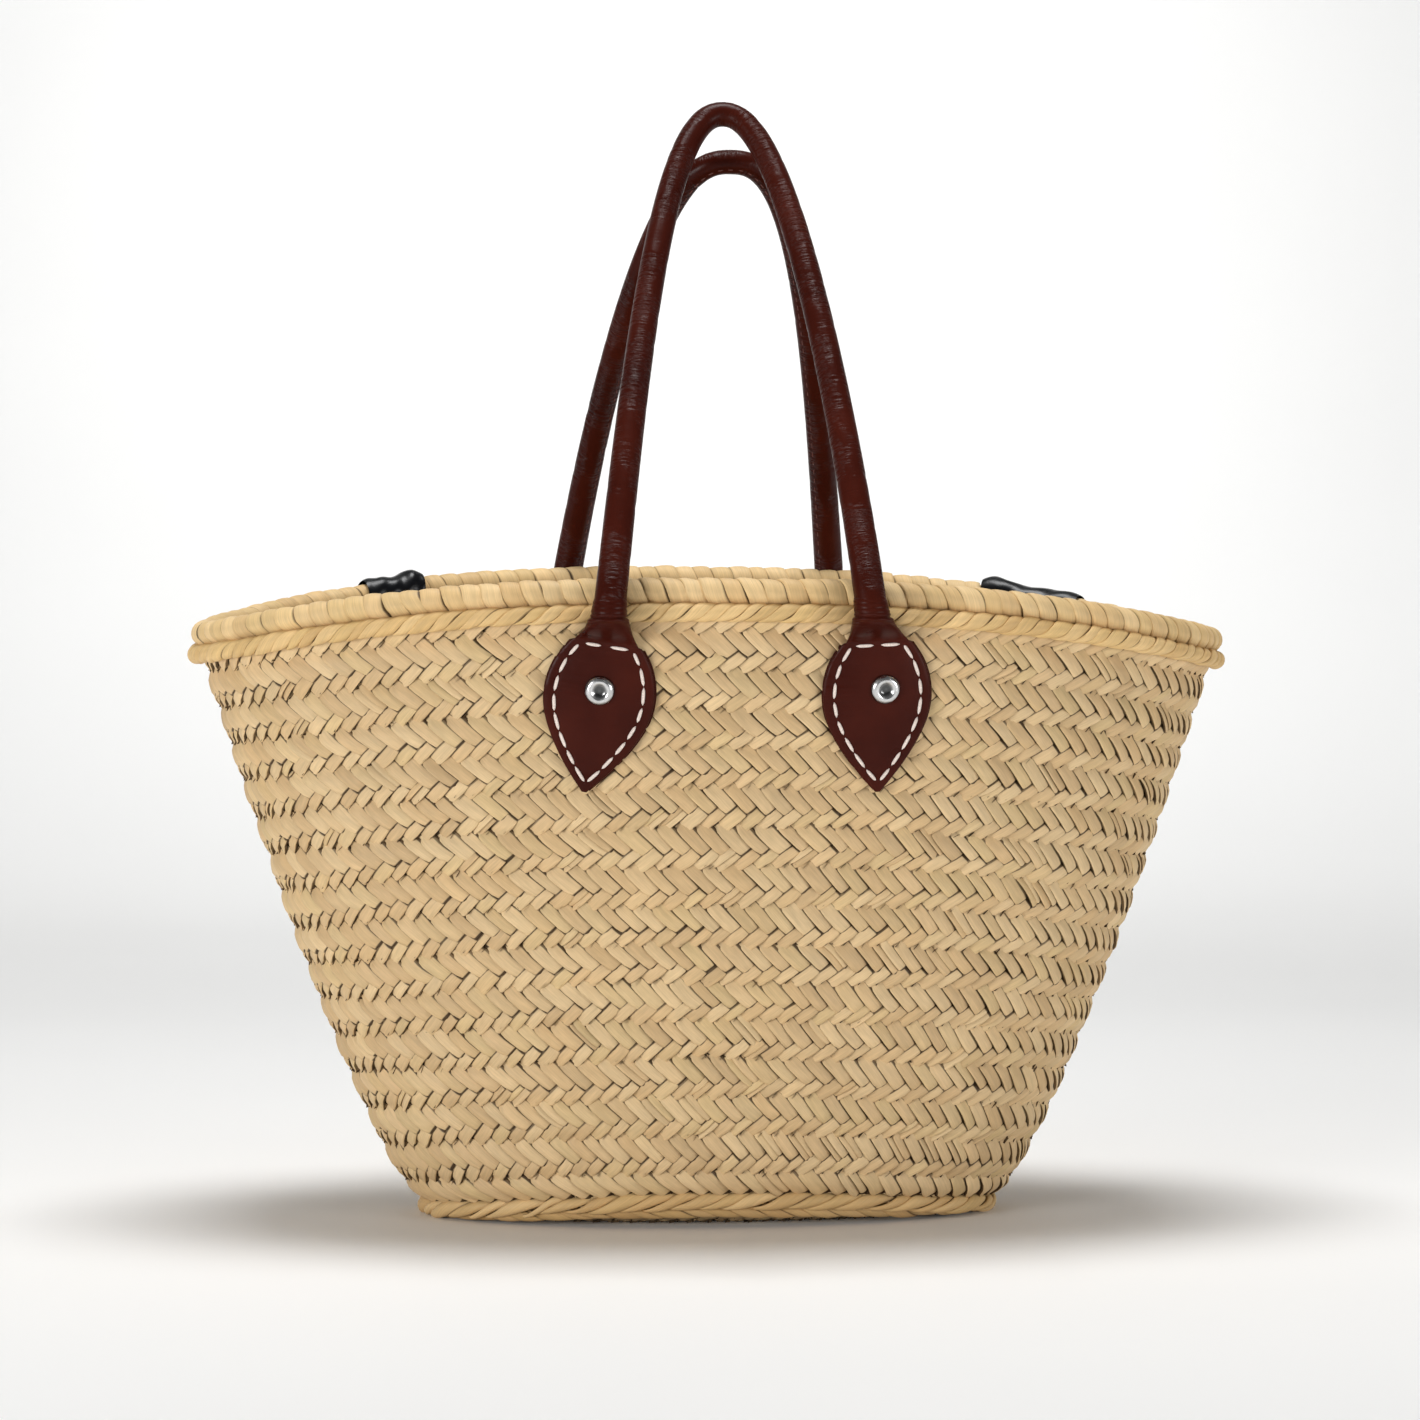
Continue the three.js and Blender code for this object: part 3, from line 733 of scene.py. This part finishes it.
CORD_TINTS = RIM_TINTS * [0.97, 0.93, 0.84]
RING_TINTS = RIM_TINTS * [0.9, 0.86, 0.8]
SHADED_TINTS = RIM_TINTS * [0.7, 0.64, 0.56]
roll = wound(
    "rim_roll", roll_centre, ROLL_R - 0.95 * MM, 9.2 * MM, 3.0 * MM, -168, 176, RIM_TINTS,
    22, 0.75 * MM, 0.4 * MM, junction=135,
)
cord = wound(
    "rim_cord", cord_centre, CORD_R - 0.8 * MM, 8.2 * MM, -6.0 * MM, -40, 225, CORD_TINTS,
    18, 0.7 * MM, 0.4 * MM, uneven=0.12,
)
ring = wound(
    "foot_ring", ring_centre, RING_R - 1.1 * MM, 13 * MM, -9 * MM, -60, 250, RING_TINTS,
    18, 1.3 * MM, 0.95 * MM, uneven=0.16, sag=0.35 * MM,
)
second_ring = wound(
    "foot_ring_inner", inner_ring_centre, RING_R - 1.4 * MM, 12 * MM, 8 * MM, -60, 250, SHADED_TINTS,
    14, 0.7 * MM, 0.4 * MM, uneven=0.14, sag=0.25 * MM,
)
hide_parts("rim_roll_wrap")
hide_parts("rim_cord_wrap")
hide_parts("base_ring")
pieces += [roll, cord, ring, second_ring]


# ---- base ----
BASE_COURSE = 15.5 * MM
BASE_COURSES = 4
BASE_PITCH = 8 * MM
BASE_EDGE = BASE - 8.4 * MM
BASE_TOP = 3.4 * MM  # the inside's height over the ground, at the base's middle
BASE_UNDER = 0.9 * MM  # the underside's
BASE_STANDS = 0.8 * MM  # how far at most its strips stand down


def base_levels():
    found = []
    for course in range(BASE_COURSES):
        half = BASE_EDGE - (course + 0.5) * BASE_COURSE
        around = 2 * np.pi * math.sqrt((half[0] ** 2 + max(half[1], 0.006) ** 2) / 2)
        found.append((course, int(around / BASE_PITCH), 0.0, BOTH_KINDS))
    return found


def base_points(turn, level, z):
    """Places on the base. Its courses go inwards from its edge, which is arched as the foot ring is."""
    angle = angle_at(turn)
    inset = np.clip(level, 0, BASE_COURSES + 0.05) * BASE_COURSE
    p = oval(angle, BASE_EDGE[0] - inset, np.maximum(BASE_EDGE[1] - inset, 0.2 * MM), 0.0)
    p[..., 2] = BASE_LIFT * middleness(angle) * smooth(1 - level / 1.1) + z
    return p


def under_base(turn, level, height):
    return base_points(turn, level, BASE_UNDER - np.minimum(height, BASE_STANDS))


# The base's strips have the wall's tints darkened, as painted shade inside the basket and under it.
base_top, base_low = (
    plait(name, points, base_levels(), INNER_ALONG, INNER_ACROSS, WALL_TINTS * shade, sign, PALM)
    for name, points, shade, sign in (
        ("base_inside", lambda t, l, h: base_points(t, l, BASE_TOP + h), 0.85, 1),
        ("base_underside", under_base, 0.8, -1),
    )
)


# The base's thickness behind its strips, a dark sheet of painted shade seen only in the gaps.
def base_bed():
    angle = turns_round(120)
    rings = []
    for z, shares in ((1.2 * MM, (0.02, 0.5, 0.78, 1)), (3.1 * MM, (1, 0.78, 0.5, 0.02))):
        for share in shares:
            p = oval(angle, BASE_EDGE[0] * share, BASE_EDGE[1] * share, 0.0)
            p[..., 2] = z + BASE_LIFT * middleness(angle) * smooth((share - 0.7) / 0.3)
            rings.append(p)
    return skin("base_bed", rings, PAINTED_SHADE_BED)


base = base_bed()
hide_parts("base_panel")
pieces += [base_top, base_low, base]

# ---- camera ----
CAMERA_DISTANCE = 2.6
CAMERA_HEIGHT = 0.368
CAMERA_AZIMUTH = math.radians(-4.45)
LOOK_AT = (0.0007, 0, 0.242)
SENSOR_MM = 36
FOCAL_PIXELS, IMAGE_PIXELS = 5392, 1420

scene = bpy.context.scene
scene.view_settings.view_transform = "Standard"
camera_data = bpy.data.cameras.new("camera")
camera_data.sensor_width = SENSOR_MM
camera_data.lens = SENSOR_MM * (FOCAL_PIXELS / IMAGE_PIXELS)
camera_data.clip_end = 50
camera = add_object("camera", camera_data)
camera_x = math.sin(CAMERA_AZIMUTH) * CAMERA_DISTANCE
camera_y = -math.cos(CAMERA_AZIMUTH) * CAMERA_DISTANCE
aim(camera, (camera_x, camera_y, CAMERA_HEIGHT), LOOK_AT)
scene.camera = camera

# ---- handles ----
TUBE_RINGS = 220
TUBE_SIDES = 28
TUBE_DENTS = 130
TUBE_UNDER = 0.15 * MM  # the tube's skin keeps this far inside the frame's radius
SEAM_DEPTH = 0.45 * MM
SEAM_WIDTH = 0.12  # radians
SEAM_STITCH_PITCH = 5.2 * MM
SEAM_STITCHES_FROM = 16 * MM  # from either foot
GRAIN_R = 7 * MM


def handle_line(handle, turn):
    height = np.cos(turn)
    spread = np.sign(turn) * np.maximum(1 - height, 0) ** (1 / handle["arch"])
    x = lerp(handle["foot_x"], handle["top_x"], height) + spread * handle["half"]
    y = lerp(handle["side"] * NECK_Y, handle["top_y"], np.maximum(height, 0) ** LEAN_EXPONENT)
    z = lerp(NECK_Z, handle["top_z"], height)
    return np.stack([x, y, z], -1)


def even_line(handle, count):
    """Points spaced evenly along a handle's line, with their turns and how far along it they are."""
    turn = np.linspace(-np.pi / 2, np.pi / 2, 2001)
    line = handle_line(handle, turn)
    length = length_along(line)
    want = np.linspace(0, length[-1], count)
    points = np.stack([np.interp(want, length, line[:, a]) for a in range(3)], -1)
    return points, np.interp(want, length, turn), want


def side_axes(tangent):
    """Two directions square to a line that runs along tangent."""
    across = unit(np.cross(tangent, [0, 1.0, 0]))
    return across, np.cross(across, tangent)


def line_axes(points):
    tangent = unit(np.gradient(points, axis=0))
    tangent[0] = UP
    tangent[-1] = -UP
    return side_axes(tangent)


def tube_radius(turn):
    return lerp(HANDLE_R_FOOT, HANDLE_R_TOP, np.maximum(np.cos(turn), 0) ** 0.8)


def seam_angle(handle, turn):
    """Where the seam lies round the tube: towards the arch's inside and the basket's middle."""
    step, last_turn = 1e-3, 1.5707
    points = handle_line(handle, turn)
    inward = unit(np.stack([handle["top_x"] - points[:, 0], 0 * turn, 0 * turn - 0.012], -1))
    towards = inward * 0.75 + np.array([0, -handle["side"] * 0.75, 0])
    after = handle_line(handle, np.clip(turn + step, -last_turn, last_turn))
    before = handle_line(handle, np.clip(turn - step, -last_turn, last_turn))
    across, other = side_axes(unit(after - before))
    return np.arctan2(np.sum(towards * other, 1), np.sum(towards * across, 1))


def handle_tube(name, handle):
    points, turn, along = even_line(handle, TUBE_RINGS)
    across, other = line_axes(points)
    phi = turns_round(TUBE_SIDES)

    def round_from(angle):
        return (phi - angle + np.pi) % (2 * np.pi) - np.pi

    relief = np.zeros((TUBE_RINGS, TUBE_SIDES))
    for _ in range(TUBE_DENTS):
        place = rng.random() * along[-1]
        centre = rng.random() * 2 * np.pi
        wide = rng.uniform(0.35, 0.9)
        long = rng.uniform(0.9, 1.8) * MM
        depth = rng.uniform(0.08, 0.28) * MM
        gap = round_from(centre)
        slope = rng.normal(0, 1.2) * MM
        relief -= depth * bell(along[:, None] - place - slope * gap, long) * bell(gap, wide)
    # The seam is a shallow groove.
    relief -= SEAM_DEPTH * bell(round_from(seam_angle(handle, turn)[:, None]), SEAM_WIDTH)
    r = tube_radius(turn)[:, None] - TUBE_UNDER + relief
    x, y = (r * np.cos(phi))[..., None], (r * np.sin(phi))[..., None]
    surface = points[:, None] + across[:, None] * x + other[:, None] * y
    grain = triples(along[:, None], np.cos(phi) * GRAIN_R, np.sin(phi) * GRAIN_R)
    return skin(name, surface, BROWN, grain=grain)


def stitch_row(name, look, centres, directions, normals, length, width, height):
    """Small rounded stitches as one mesh."""
    rings, sides = 7, 8
    u = np.linspace(-1, 1, rings)
    taper = np.sqrt(np.clip(1 - np.abs(u) ** 3.2, 0.02, 1))[:, None]
    dip = -0.6 * np.abs(u)[:, None] ** 4
    phi = turns_round(sides)
    vertices, faces = [], []
    for c, d, n in zip(centres, unit(directions), normals):
        size = length * (1 + rng.normal(0, 0.07)) / 2
        sideways_by = (taper * np.cos(phi) * width / 2)[..., None]
        up_by = ((taper * np.sin(phi) + dip) * height / 2)[..., None]
        first = len(vertices) * rings * sides
        faces += [[index + first for index in face] for face in tube_faces(rings, sides, capped=True)]
        vertices.append(c + d * (u * size)[:, None, None] + np.cross(d, n) * sideways_by + n * up_by)
    return make_mesh(name, vertices, faces, look)


def seam_stitches(name, handle):
    points, turn, along = even_line(handle, 2001)
    across, other = line_axes(points)
    place = np.arange(SEAM_STITCHES_FROM, along[-1] - SEAM_STITCHES_FROM, SEAM_STITCH_PITCH)
    index = np.searchsorted(along, place)
    groove = seam_angle(handle, turn[index])
    n = across[index] * np.cos(groove)[:, None] + other[index] * np.sin(groove)[:, None]
    centres = points[index] + n * (tube_radius(turn[index]) - SEAM_DEPTH)[:, None]
    directions = points[index + 3] - points[index - 3]
    return stitch_row(name, SEAM_THREAD, centres, directions, n, 3.1 * MM, 0.6 * MM, 0.6 * MM)


# ---- feet of the handles ----
def rivet_frame(handle, end, tilt):
    """Origin, across, up and out where a rivet goes through the wall, as the frame has them."""
    side = handle["side"]
    x = handle["foot_x"] + end * handle["half"] + LEAF_SHIFT - NECK_ABOVE_RIVET * math.sin(tilt)
    candidates = side * np.linspace(0.02, np.pi - 0.02, 6001)
    rise = rise_at(candidates, RIVET_Z)
    best = np.argmin(np.abs(wall_level(candidates, rise)[:, 0] - x))
    angle, rise, step = candidates[best], rise[best], 0.01
    origin = wall_level(angle, rise)
    along = wall_level(angle, rise + step) - wall_level(angle, rise - step)
    around = wall_level(angle + step, rise) - wall_level(angle - step, rise)
    out = unit(np.cross(around, along))
    up = unit(UP - out * out[2])
    turned = up * math.cos(side * tilt) + np.cross(out, up) * math.sin(side * tilt)
    return {"origin": origin, "across": np.cross(turned, out), "up": turned, "out": out}


def place_in(foot, across, up, out):
    ways = (("across", across), ("up", up), ("out", out))
    return sum((foot[way] * np.asarray(far)[..., None] for way, far in ways), foot["origin"])


def outline_half(down_mm):
    """Half the leaf's width, a smooth curve through the outline's points."""
    t = np.linspace(0, len(LEAF_OUTLINE_MM) - 1, 400)
    i = np.minimum(t.astype(int), len(LEAF_OUTLINE_MM) - 2)
    f = (t - i)[:, None]
    points = LEAF_OUTLINE_MM
    padded = np.vstack([2 * points[0] - points[1], points, 2 * points[-1] - points[-2]])
    p0, p1, p2, p3 = (padded[i + n] for n in range(4))
    bend, twist = 2 * p0 - 5 * p1 + 4 * p2 - p3, 3 * p1 - p0 - 3 * p2 + p3
    curve = 0.5 * ((2 * p1) + (p2 - p0) * f + bend * f**2 + twist * f**3)
    return np.interp(down_mm, curve[:, 0], curve[:, 1])


LEAF_LOW = 3.0 * MM  # the leaf's back, out from the wall
LEAF_THICK = 2.2 * MM
LEAF_ROWS = 64
LEAF_SIDES = 56
LEAF_SQUARE = 5  # how square the leaf's section is; 2 is an ellipse
LEAF_CREASES = 0.12  # the leaf is hardly creased where it lies flat
STITCH_INSET_MM = 5.0
TOP_STITCH_MM = 12.0  # the straight row of stitches below the neck
NECK_ROWS = 44
NECK_FROM_MM = 11.0  # the neck starts this far down the leaf
NECK_ABOVE = 9 * MM  # and ends this far above the hinge, inside the tube
NECK_GRAIN_MM = 26
# Shares of the way up by which the neck is turned square to the tube, and has its section, and its line.
NECK_LEANS, NECK_ROUNDS, NECK_SETTLES = 0.5, 0.58, 0.62
# Half the neck's width by share of the way up.
NECK_SHARES = [0, 0.1, 0.22, 0.38, 0.5, 0.56, 0.62, 0.72, 1]
NECK_HALVES_MM = [15.1, 13.6, 11.9, 10.4, 9.6, 9.5, 8.7, 8.3, 7.85]
# Folds where the tube is pushed together: share of the way up, depth, and side it is deepest on.
NECK_FOLDS = [(0.595, 0.18, -1.4), (0.68, 0.07, -2.2), (0.78, 0.05, -0.7), (0.88, 0.04, -1.9)]
FOLD_REACH = 0.026
LEAF_PHI = (np.arange(LEAF_SIDES) + 0.5) / LEAF_SIDES * 2 * np.pi
BACK_WIDER_MM = 0.55  # the second leaf stands out this far
BACK_ASIDE = 0.35 * MM
CURL_OUT = 4.5 * MM
CURL_UP = 0.5 * MM
CURL_FROM_MM = 21.0


def section_ring(half_width, low, high, square):
    """A flattened ring: across and out values, starting at +across and going out first."""
    c, s = np.cos(LEAF_PHI), np.sin(LEAF_PHI)
    across = half_width * np.sign(c) * np.abs(c) ** (2 / square)
    out = (low + high) / 2 + (high - low) / 2 * np.sign(s) * np.abs(s) ** (2 / square)
    return across, out, s


def leaf_curl(down_mm):
    """How far the leaf has curved away from the wall, up towards its neck."""
    return np.maximum(0, (CURL_FROM_MM - down_mm) / CURL_FROM_MM) ** 2


def leaf_inset(across_mm, half_mm, down_mm):
    """Distance in from the leaf's edge, in millimetres, counting the row of stitches below the neck."""
    tip = (LEAF_LENGTH_MM - down_mm) * 0.55
    side = half_mm - np.abs(across_mm)
    return np.minimum(np.minimum(side, tip), down_mm - TOP_STITCH_MM + STITCH_INSET_MM)


def leaf_relief(inset_mm):
    """The leaf is drawn down along its stitches, domed inside them, and rounded at its edge."""
    groove = -0.35 * bell(inset_mm - STITCH_INSET_MM, 0.9)
    dome = 0.7 * smooth((inset_mm - STITCH_INSET_MM) / 9)
    rim = -0.5 * np.exp(-np.maximum(inset_mm, 0) / 0.8)
    return (groove + dome + rim) * MM


def leaf_and_neck(name, foot, handle, end):
    """A leather leaf whose neck gathers into the foot of the handle's tube."""
    rings, grains = [], []
    neck = np.array([handle["foot_x"] + end * handle["half"], handle["side"] * NECK_Y, NECK_Z])
    tube_across = np.array([foot["across"][0] / abs(foot["across"][0]), 0, 0])
    tube_out = np.array([0, float(handle["side"]), 0])
    # Up the leaf from its tip.
    for down in np.concatenate([np.linspace(81.6, 72, 14), np.linspace(71, NECK_FROM_MM, LEAF_ROWS)]):
        half = max(float(outline_half(down)), 0.5) * MM
        across, out, s = section_ring(half, LEAF_LOW, LEAF_LOW + LEAF_THICK, LEAF_SQUARE)
        out = out + np.where(s > 0, leaf_relief(leaf_inset(across / MM, half / MM, down)), 0)
        curl = leaf_curl(down)
        up = NECK_ABOVE_RIVET - down * MM - CURL_UP * curl
        rings.append(place_in(foot, across, up, out + CURL_OUT * curl))
        grains.append(triples(down * MM, across, out) * LEAF_CREASES)
    # From the gathered neck into the tube.
    centre_from = rings[-1].mean(0)
    for t in np.arange(1, NECK_ROWS + 1) / NECK_ROWS:
        rise = lerp(centre_from[2], NECK_Z + NECK_ABOVE, t)
        height = max((rise - NECK_Z) / (handle["top_z"] - NECK_Z), 0)
        tube_at = handle_line(handle, end * math.acos(min(height, 1)))
        centre = lerp(centre_from, tube_at if rise > NECK_Z else neck, smooth(t / NECK_SETTLES))
        centre[2] = rise
        half = float(np.interp(t, NECK_SHARES, NECK_HALVES_MM)) * MM
        shape = smooth(t / NECK_ROUNDS)
        fold = sum(
            deep * bell(t - at, FOLD_REACH) * (0.6 + 0.4 * np.cos(LEAF_PHI + side))
            for at, deep, side in NECK_FOLDS
        )
        close = 1 - 0.05 * smooth((t - 0.9) / 0.1)
        across, out, s = section_ring(half * close, 0, 1, lerp(LEAF_SQUARE, 2, shape))
        depth = lerp(LEAF_THICK + 0.3 * MM, 2 * min(half, HANDLE_R_FOOT + 1.0 * MM), shape) * close
        across, out = across * (1 - fold), (out - 0.5) * depth * (1 - fold)
        lean = smooth(t / NECK_LEANS)
        side_axis = unit(lerp(foot["across"], tube_across, lean))
        out_axis = unit(lerp(foot["out"], tube_out, lean))
        rings.append(centre + side_axis * across[:, None] + out_axis * out[:, None])
        creasing = lerp(LEAF_CREASES, 1, smooth((t - 0.3) / 0.3))
        down = (NECK_FROM_MM - t * NECK_GRAIN_MM) * MM
        grains.append(triples(down, across, out) * creasing)
    return skin(name, rings, BROWN, grain=np.array(grains))


def backing_leaf(name, foot):
    """The second leaf behind, showing as a thin edge."""
    rings = []
    for down in np.linspace(81.0, 12, 44):
        half = (max(float(outline_half(down)), 0.5) + BACK_WIDER_MM) * MM
        across, out, _ = section_ring(half, 0.5 * MM, LEAF_LOW - 0.1 * MM, LEAF_SQUARE)
        rings.append(place_in(foot, across + BACK_ASIDE, NECK_ABOVE_RIVET - down * MM, out))
    return skin(name, rings, BROWN_FLAT)


def leaf_stitches(name, foot):
    """Stitches inside the leaf's edge, down to its tip, and a straight row below the neck."""
    downs = np.linspace(TOP_STITCH_MM, 77.0, 300)
    half = outline_half(downs) - STITCH_INSET_MM
    tip = int(np.argmax(half < 0.1)) or len(half)
    right = np.stack([np.maximum(half[:tip], 0), downs[:tip]], -1)
    row = np.stack([np.linspace(right[0, 0], -right[0, 0], 30), np.full(30, TOP_STITCH_MM)], -1)
    middles, flats = [], []
    for path, pitch in ((right, 8.9), (right * [-1, 1], 8.9), (row, 10.4)):
        length = length_along(path)
        count = int(round(length[-1] / pitch))
        at = (np.arange(count) + 0.5) * length[-1] / count
        reach = 0.37 * length[-1] / count
        first, last = (
            np.stack([np.interp(at + r, length, path[:, a]) for a in (0, 1)], -1) for r in (-reach, reach)
        )
        middles.append((first + last) / 2)
        flats.append(last - first)
    middle, flat = np.concatenate(middles), np.concatenate(flats)
    curl = leaf_curl(middle[:, 1])
    height = LEAF_LOW + LEAF_THICK + 0.1 * MM + CURL_OUT * curl
    up = NECK_ABOVE_RIVET - middle[:, 1] * MM - CURL_UP * curl
    centres = place_in(foot, middle[:, 0] * MM, up, height)
    directions = foot["across"] * flat[:, :1] - foot["up"] * flat[:, 1:]
    normals = np.repeat(foot["out"][None], len(centres), 0)
    return stitch_row(name, THREAD, centres, directions, normals, 7.7 * MM, 1.6 * MM, 1.2 * MM)


def rivet(name, foot, aside):
    """A domed cap with a shallow hollow in its middle, on its post."""
    top = LEAF_LOW + LEAF_THICK + 0.75 * MM
    # The brightness is painted light: a dark reflection in the hollow, a highlight on the dome and shade at
    # its edge.
    profile = [  # radius and height in millimetres, and painted brightness
        (0.05, 0.9, 0.16), (1.2, 0.92, 0.1), (2.2, 1.1, 0.12), (2.9, 1.5, 0.3), (3.6, 2.1, 0.75),
        (4.2, 2.4, 0.85), (4.9, 2.35, 0.8), (5.6, 2.05, 0.7), (6.3, 1.5, 0.6), (6.75, 0.8, 0.42),
        (6.95, 0.2, 0.2), (6.9, -0.2, 0.1), (6.3, -0.5, 0.1), (2.0, -0.5, 0.1), (2.0, -9.0, 0.4),
        (0.05, -9.0, 0.4),
    ]
    sides = 48
    phi = turns_round(sides)
    rings = [
        place_in(foot, aside + r * MM * np.cos(phi), r * MM * np.sin(phi), np.full(sides, top + h * MM))
        for r, h, _ in profile
    ]
    tint = np.array([[[shade] * 3] * sides for _, _, shade in profile])
    return skin(name, rings, STEEL, tint=tint)


for label, handle in HANDLES.items():
    body = "handle_" + label
    tube = handle_tube(f"{label}_handle_tube", handle)
    seam = seam_stitches(f"{label}_handle_seam", handle)
    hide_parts(f"{label}_handle_sleeve")
    for piece in (tube, seam):
        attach(piece, body)
    for end, word, tilt, aside in zip((-1, 1), ("left", "right"), handle["tilts"], handle["asides"]):
        foot_name = f"{label}_{word}"
        foot = rivet_frame(handle, end, math.radians(tilt))
        leaf = leaf_and_neck(f"leaf_neck_{foot_name}", foot, handle, end)
        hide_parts(f"leaf_{foot_name}")
        low = (0, handle["side"] * NECK_Y, NECK_Z - 5 * MM)
        high = (0, handle["side"] * NECK_Y, NECK_Z + 8 * MM)
        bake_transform(leaf)
        back = backing_leaf(f"leaf_back_{foot_name}", foot)
        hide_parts(f"leaf_backing_{foot_name}")
        stitches = leaf_stitches(f"stitches_{foot_name}", foot)
        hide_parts(f"stitching_{foot_name}")
        cap = rivet(f"rivet_cap_{foot_name}", foot, aside)
        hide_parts(f"rivet_{foot_name}")
        pieces += [back, stitches, cap]


# ---- black bindings on the far rim ----
BINDING_OUT = 1.9 * MM
BINDING_BUMP = 1.9 * MM


def binding(name, from_x, to_x, bump_at):
    """Leather wrapped round the rim roll, with a bump at a share of its length."""
    angles = np.linspace(0.05, np.pi - 0.05, 3000)
    x = roll_centre(angles)[:, 0]
    places = np.interp(np.linspace(from_x, to_x, 34), x[::-1], angles[::-1])
    theta = np.radians(np.linspace(-170, 170, 30))
    rings = []
    for s, angle in zip(np.linspace(0, 1, len(places)), places):
        bumpy = BINDING_BUMP * math.exp(-(((s - bump_at) / 0.13) ** 2)) * bell(theta, 1.1)
        folds = 0.35 * MM * np.sin(9 * s + 2.2 * theta) + 0.22 * MM * np.sin(23 * s - 3 * theta)
        thin = -0.5 * MM * (np.exp(-s / 0.03) + np.exp(-(1 - s) / 0.03))
        r = ROLL_R + BINDING_OUT + bumpy + folds + thin
        at = np.array([angle])
        rings.append(about(roll_centre(at)[0], outward(at, *MOUTH)[0], r, theta))
    return skin(name, rings, BLACK, capped=False)


for name, node, from_x, to_x, bump_at in (
    ("binding_left", "rim_patch_left", -165 * MM, -136 * MM, 0.78),
    ("binding_right", "rim_patch_right", 147 * MM, 193 * MM, 0.15),
):
    patch = binding(name, from_x, to_x, bump_at)
    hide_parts(node)
    pieces.append(patch)

for piece in pieces:
    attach(piece, "basket")

# ---- pieces kept from the frame ----
for node_name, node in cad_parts.items():
    if node.hide_render:
        continue
    look = BROWN_FLAT if "washer" in node_name else STEEL_PLAIN if node_name.startswith("rivet") else CORE
    node.data.materials.clear()
    node.data.materials.append(look)

# ---- room ----
FLOOR_FRONT, FLOOR_BACK, FLOOR_CURVE, BACKDROP_TOP = -4.5, 1.6, 1.4, 5
PAINT = {"noise": (1.5, 2.0), "rough": (0.8, 0.9), "gloss": 0.1}
FLOOR_PAINT = grained_material("floor_paint", (247, 247, 246), (250, 250, 249), **PAINT)


def floor_and_wall():
    """A floor that curves up into a backdrop."""
    profile = [(FLOOR_FRONT, 0), (FLOOR_BACK, 0)]
    for a in np.arange(1, 17) / 16 * math.pi / 2:
        profile.append((FLOOR_BACK + FLOOR_CURVE * math.sin(a), FLOOR_CURVE * (1 - math.cos(a))))
    profile.append((FLOOR_BACK + FLOOR_CURVE, BACKDROP_TOP))
    points = np.array([[[x, y, z] for x in (-6, 6)] for y, z in profile])
    return make_mesh("floor", points, patch_faces(1, len(profile), 2, True), FLOOR_PAINT)


floor_and_wall()


for name, place, target, size, power in (
    ("overhead", (0.0, 0.1, 2.3), (0, 0.0, 0), (1.1, 0.8), 38),
    ("key", (-2.3, -2.1, 0.5), (0, 0, 0.2), (1.4, 0.7), 49),
    ("fill", (2.3, -2.0, 0.42), (0, 0, 0.2), (1.5, 0.7), 28),
    ("back_wash", (0.2, 1.8, 1.3), (0.2, 3.0, 0.5), (0.9, 0.5), 9),
):
    data = bpy.data.lights.new(name, "AREA")
    data.shape = "RECTANGLE"
    data.size, data.size_y = size
    data.energy = power
    aim(add_object(name, data), place, target)

world = bpy.data.worlds.new("studio")
world.use_nodes = True
background = world.node_tree.nodes["Background"]
background.inputs["Color"].default_value = (1, 1, 1, 1)
background.inputs["Strength"].default_value = 0.14
scene.world = world
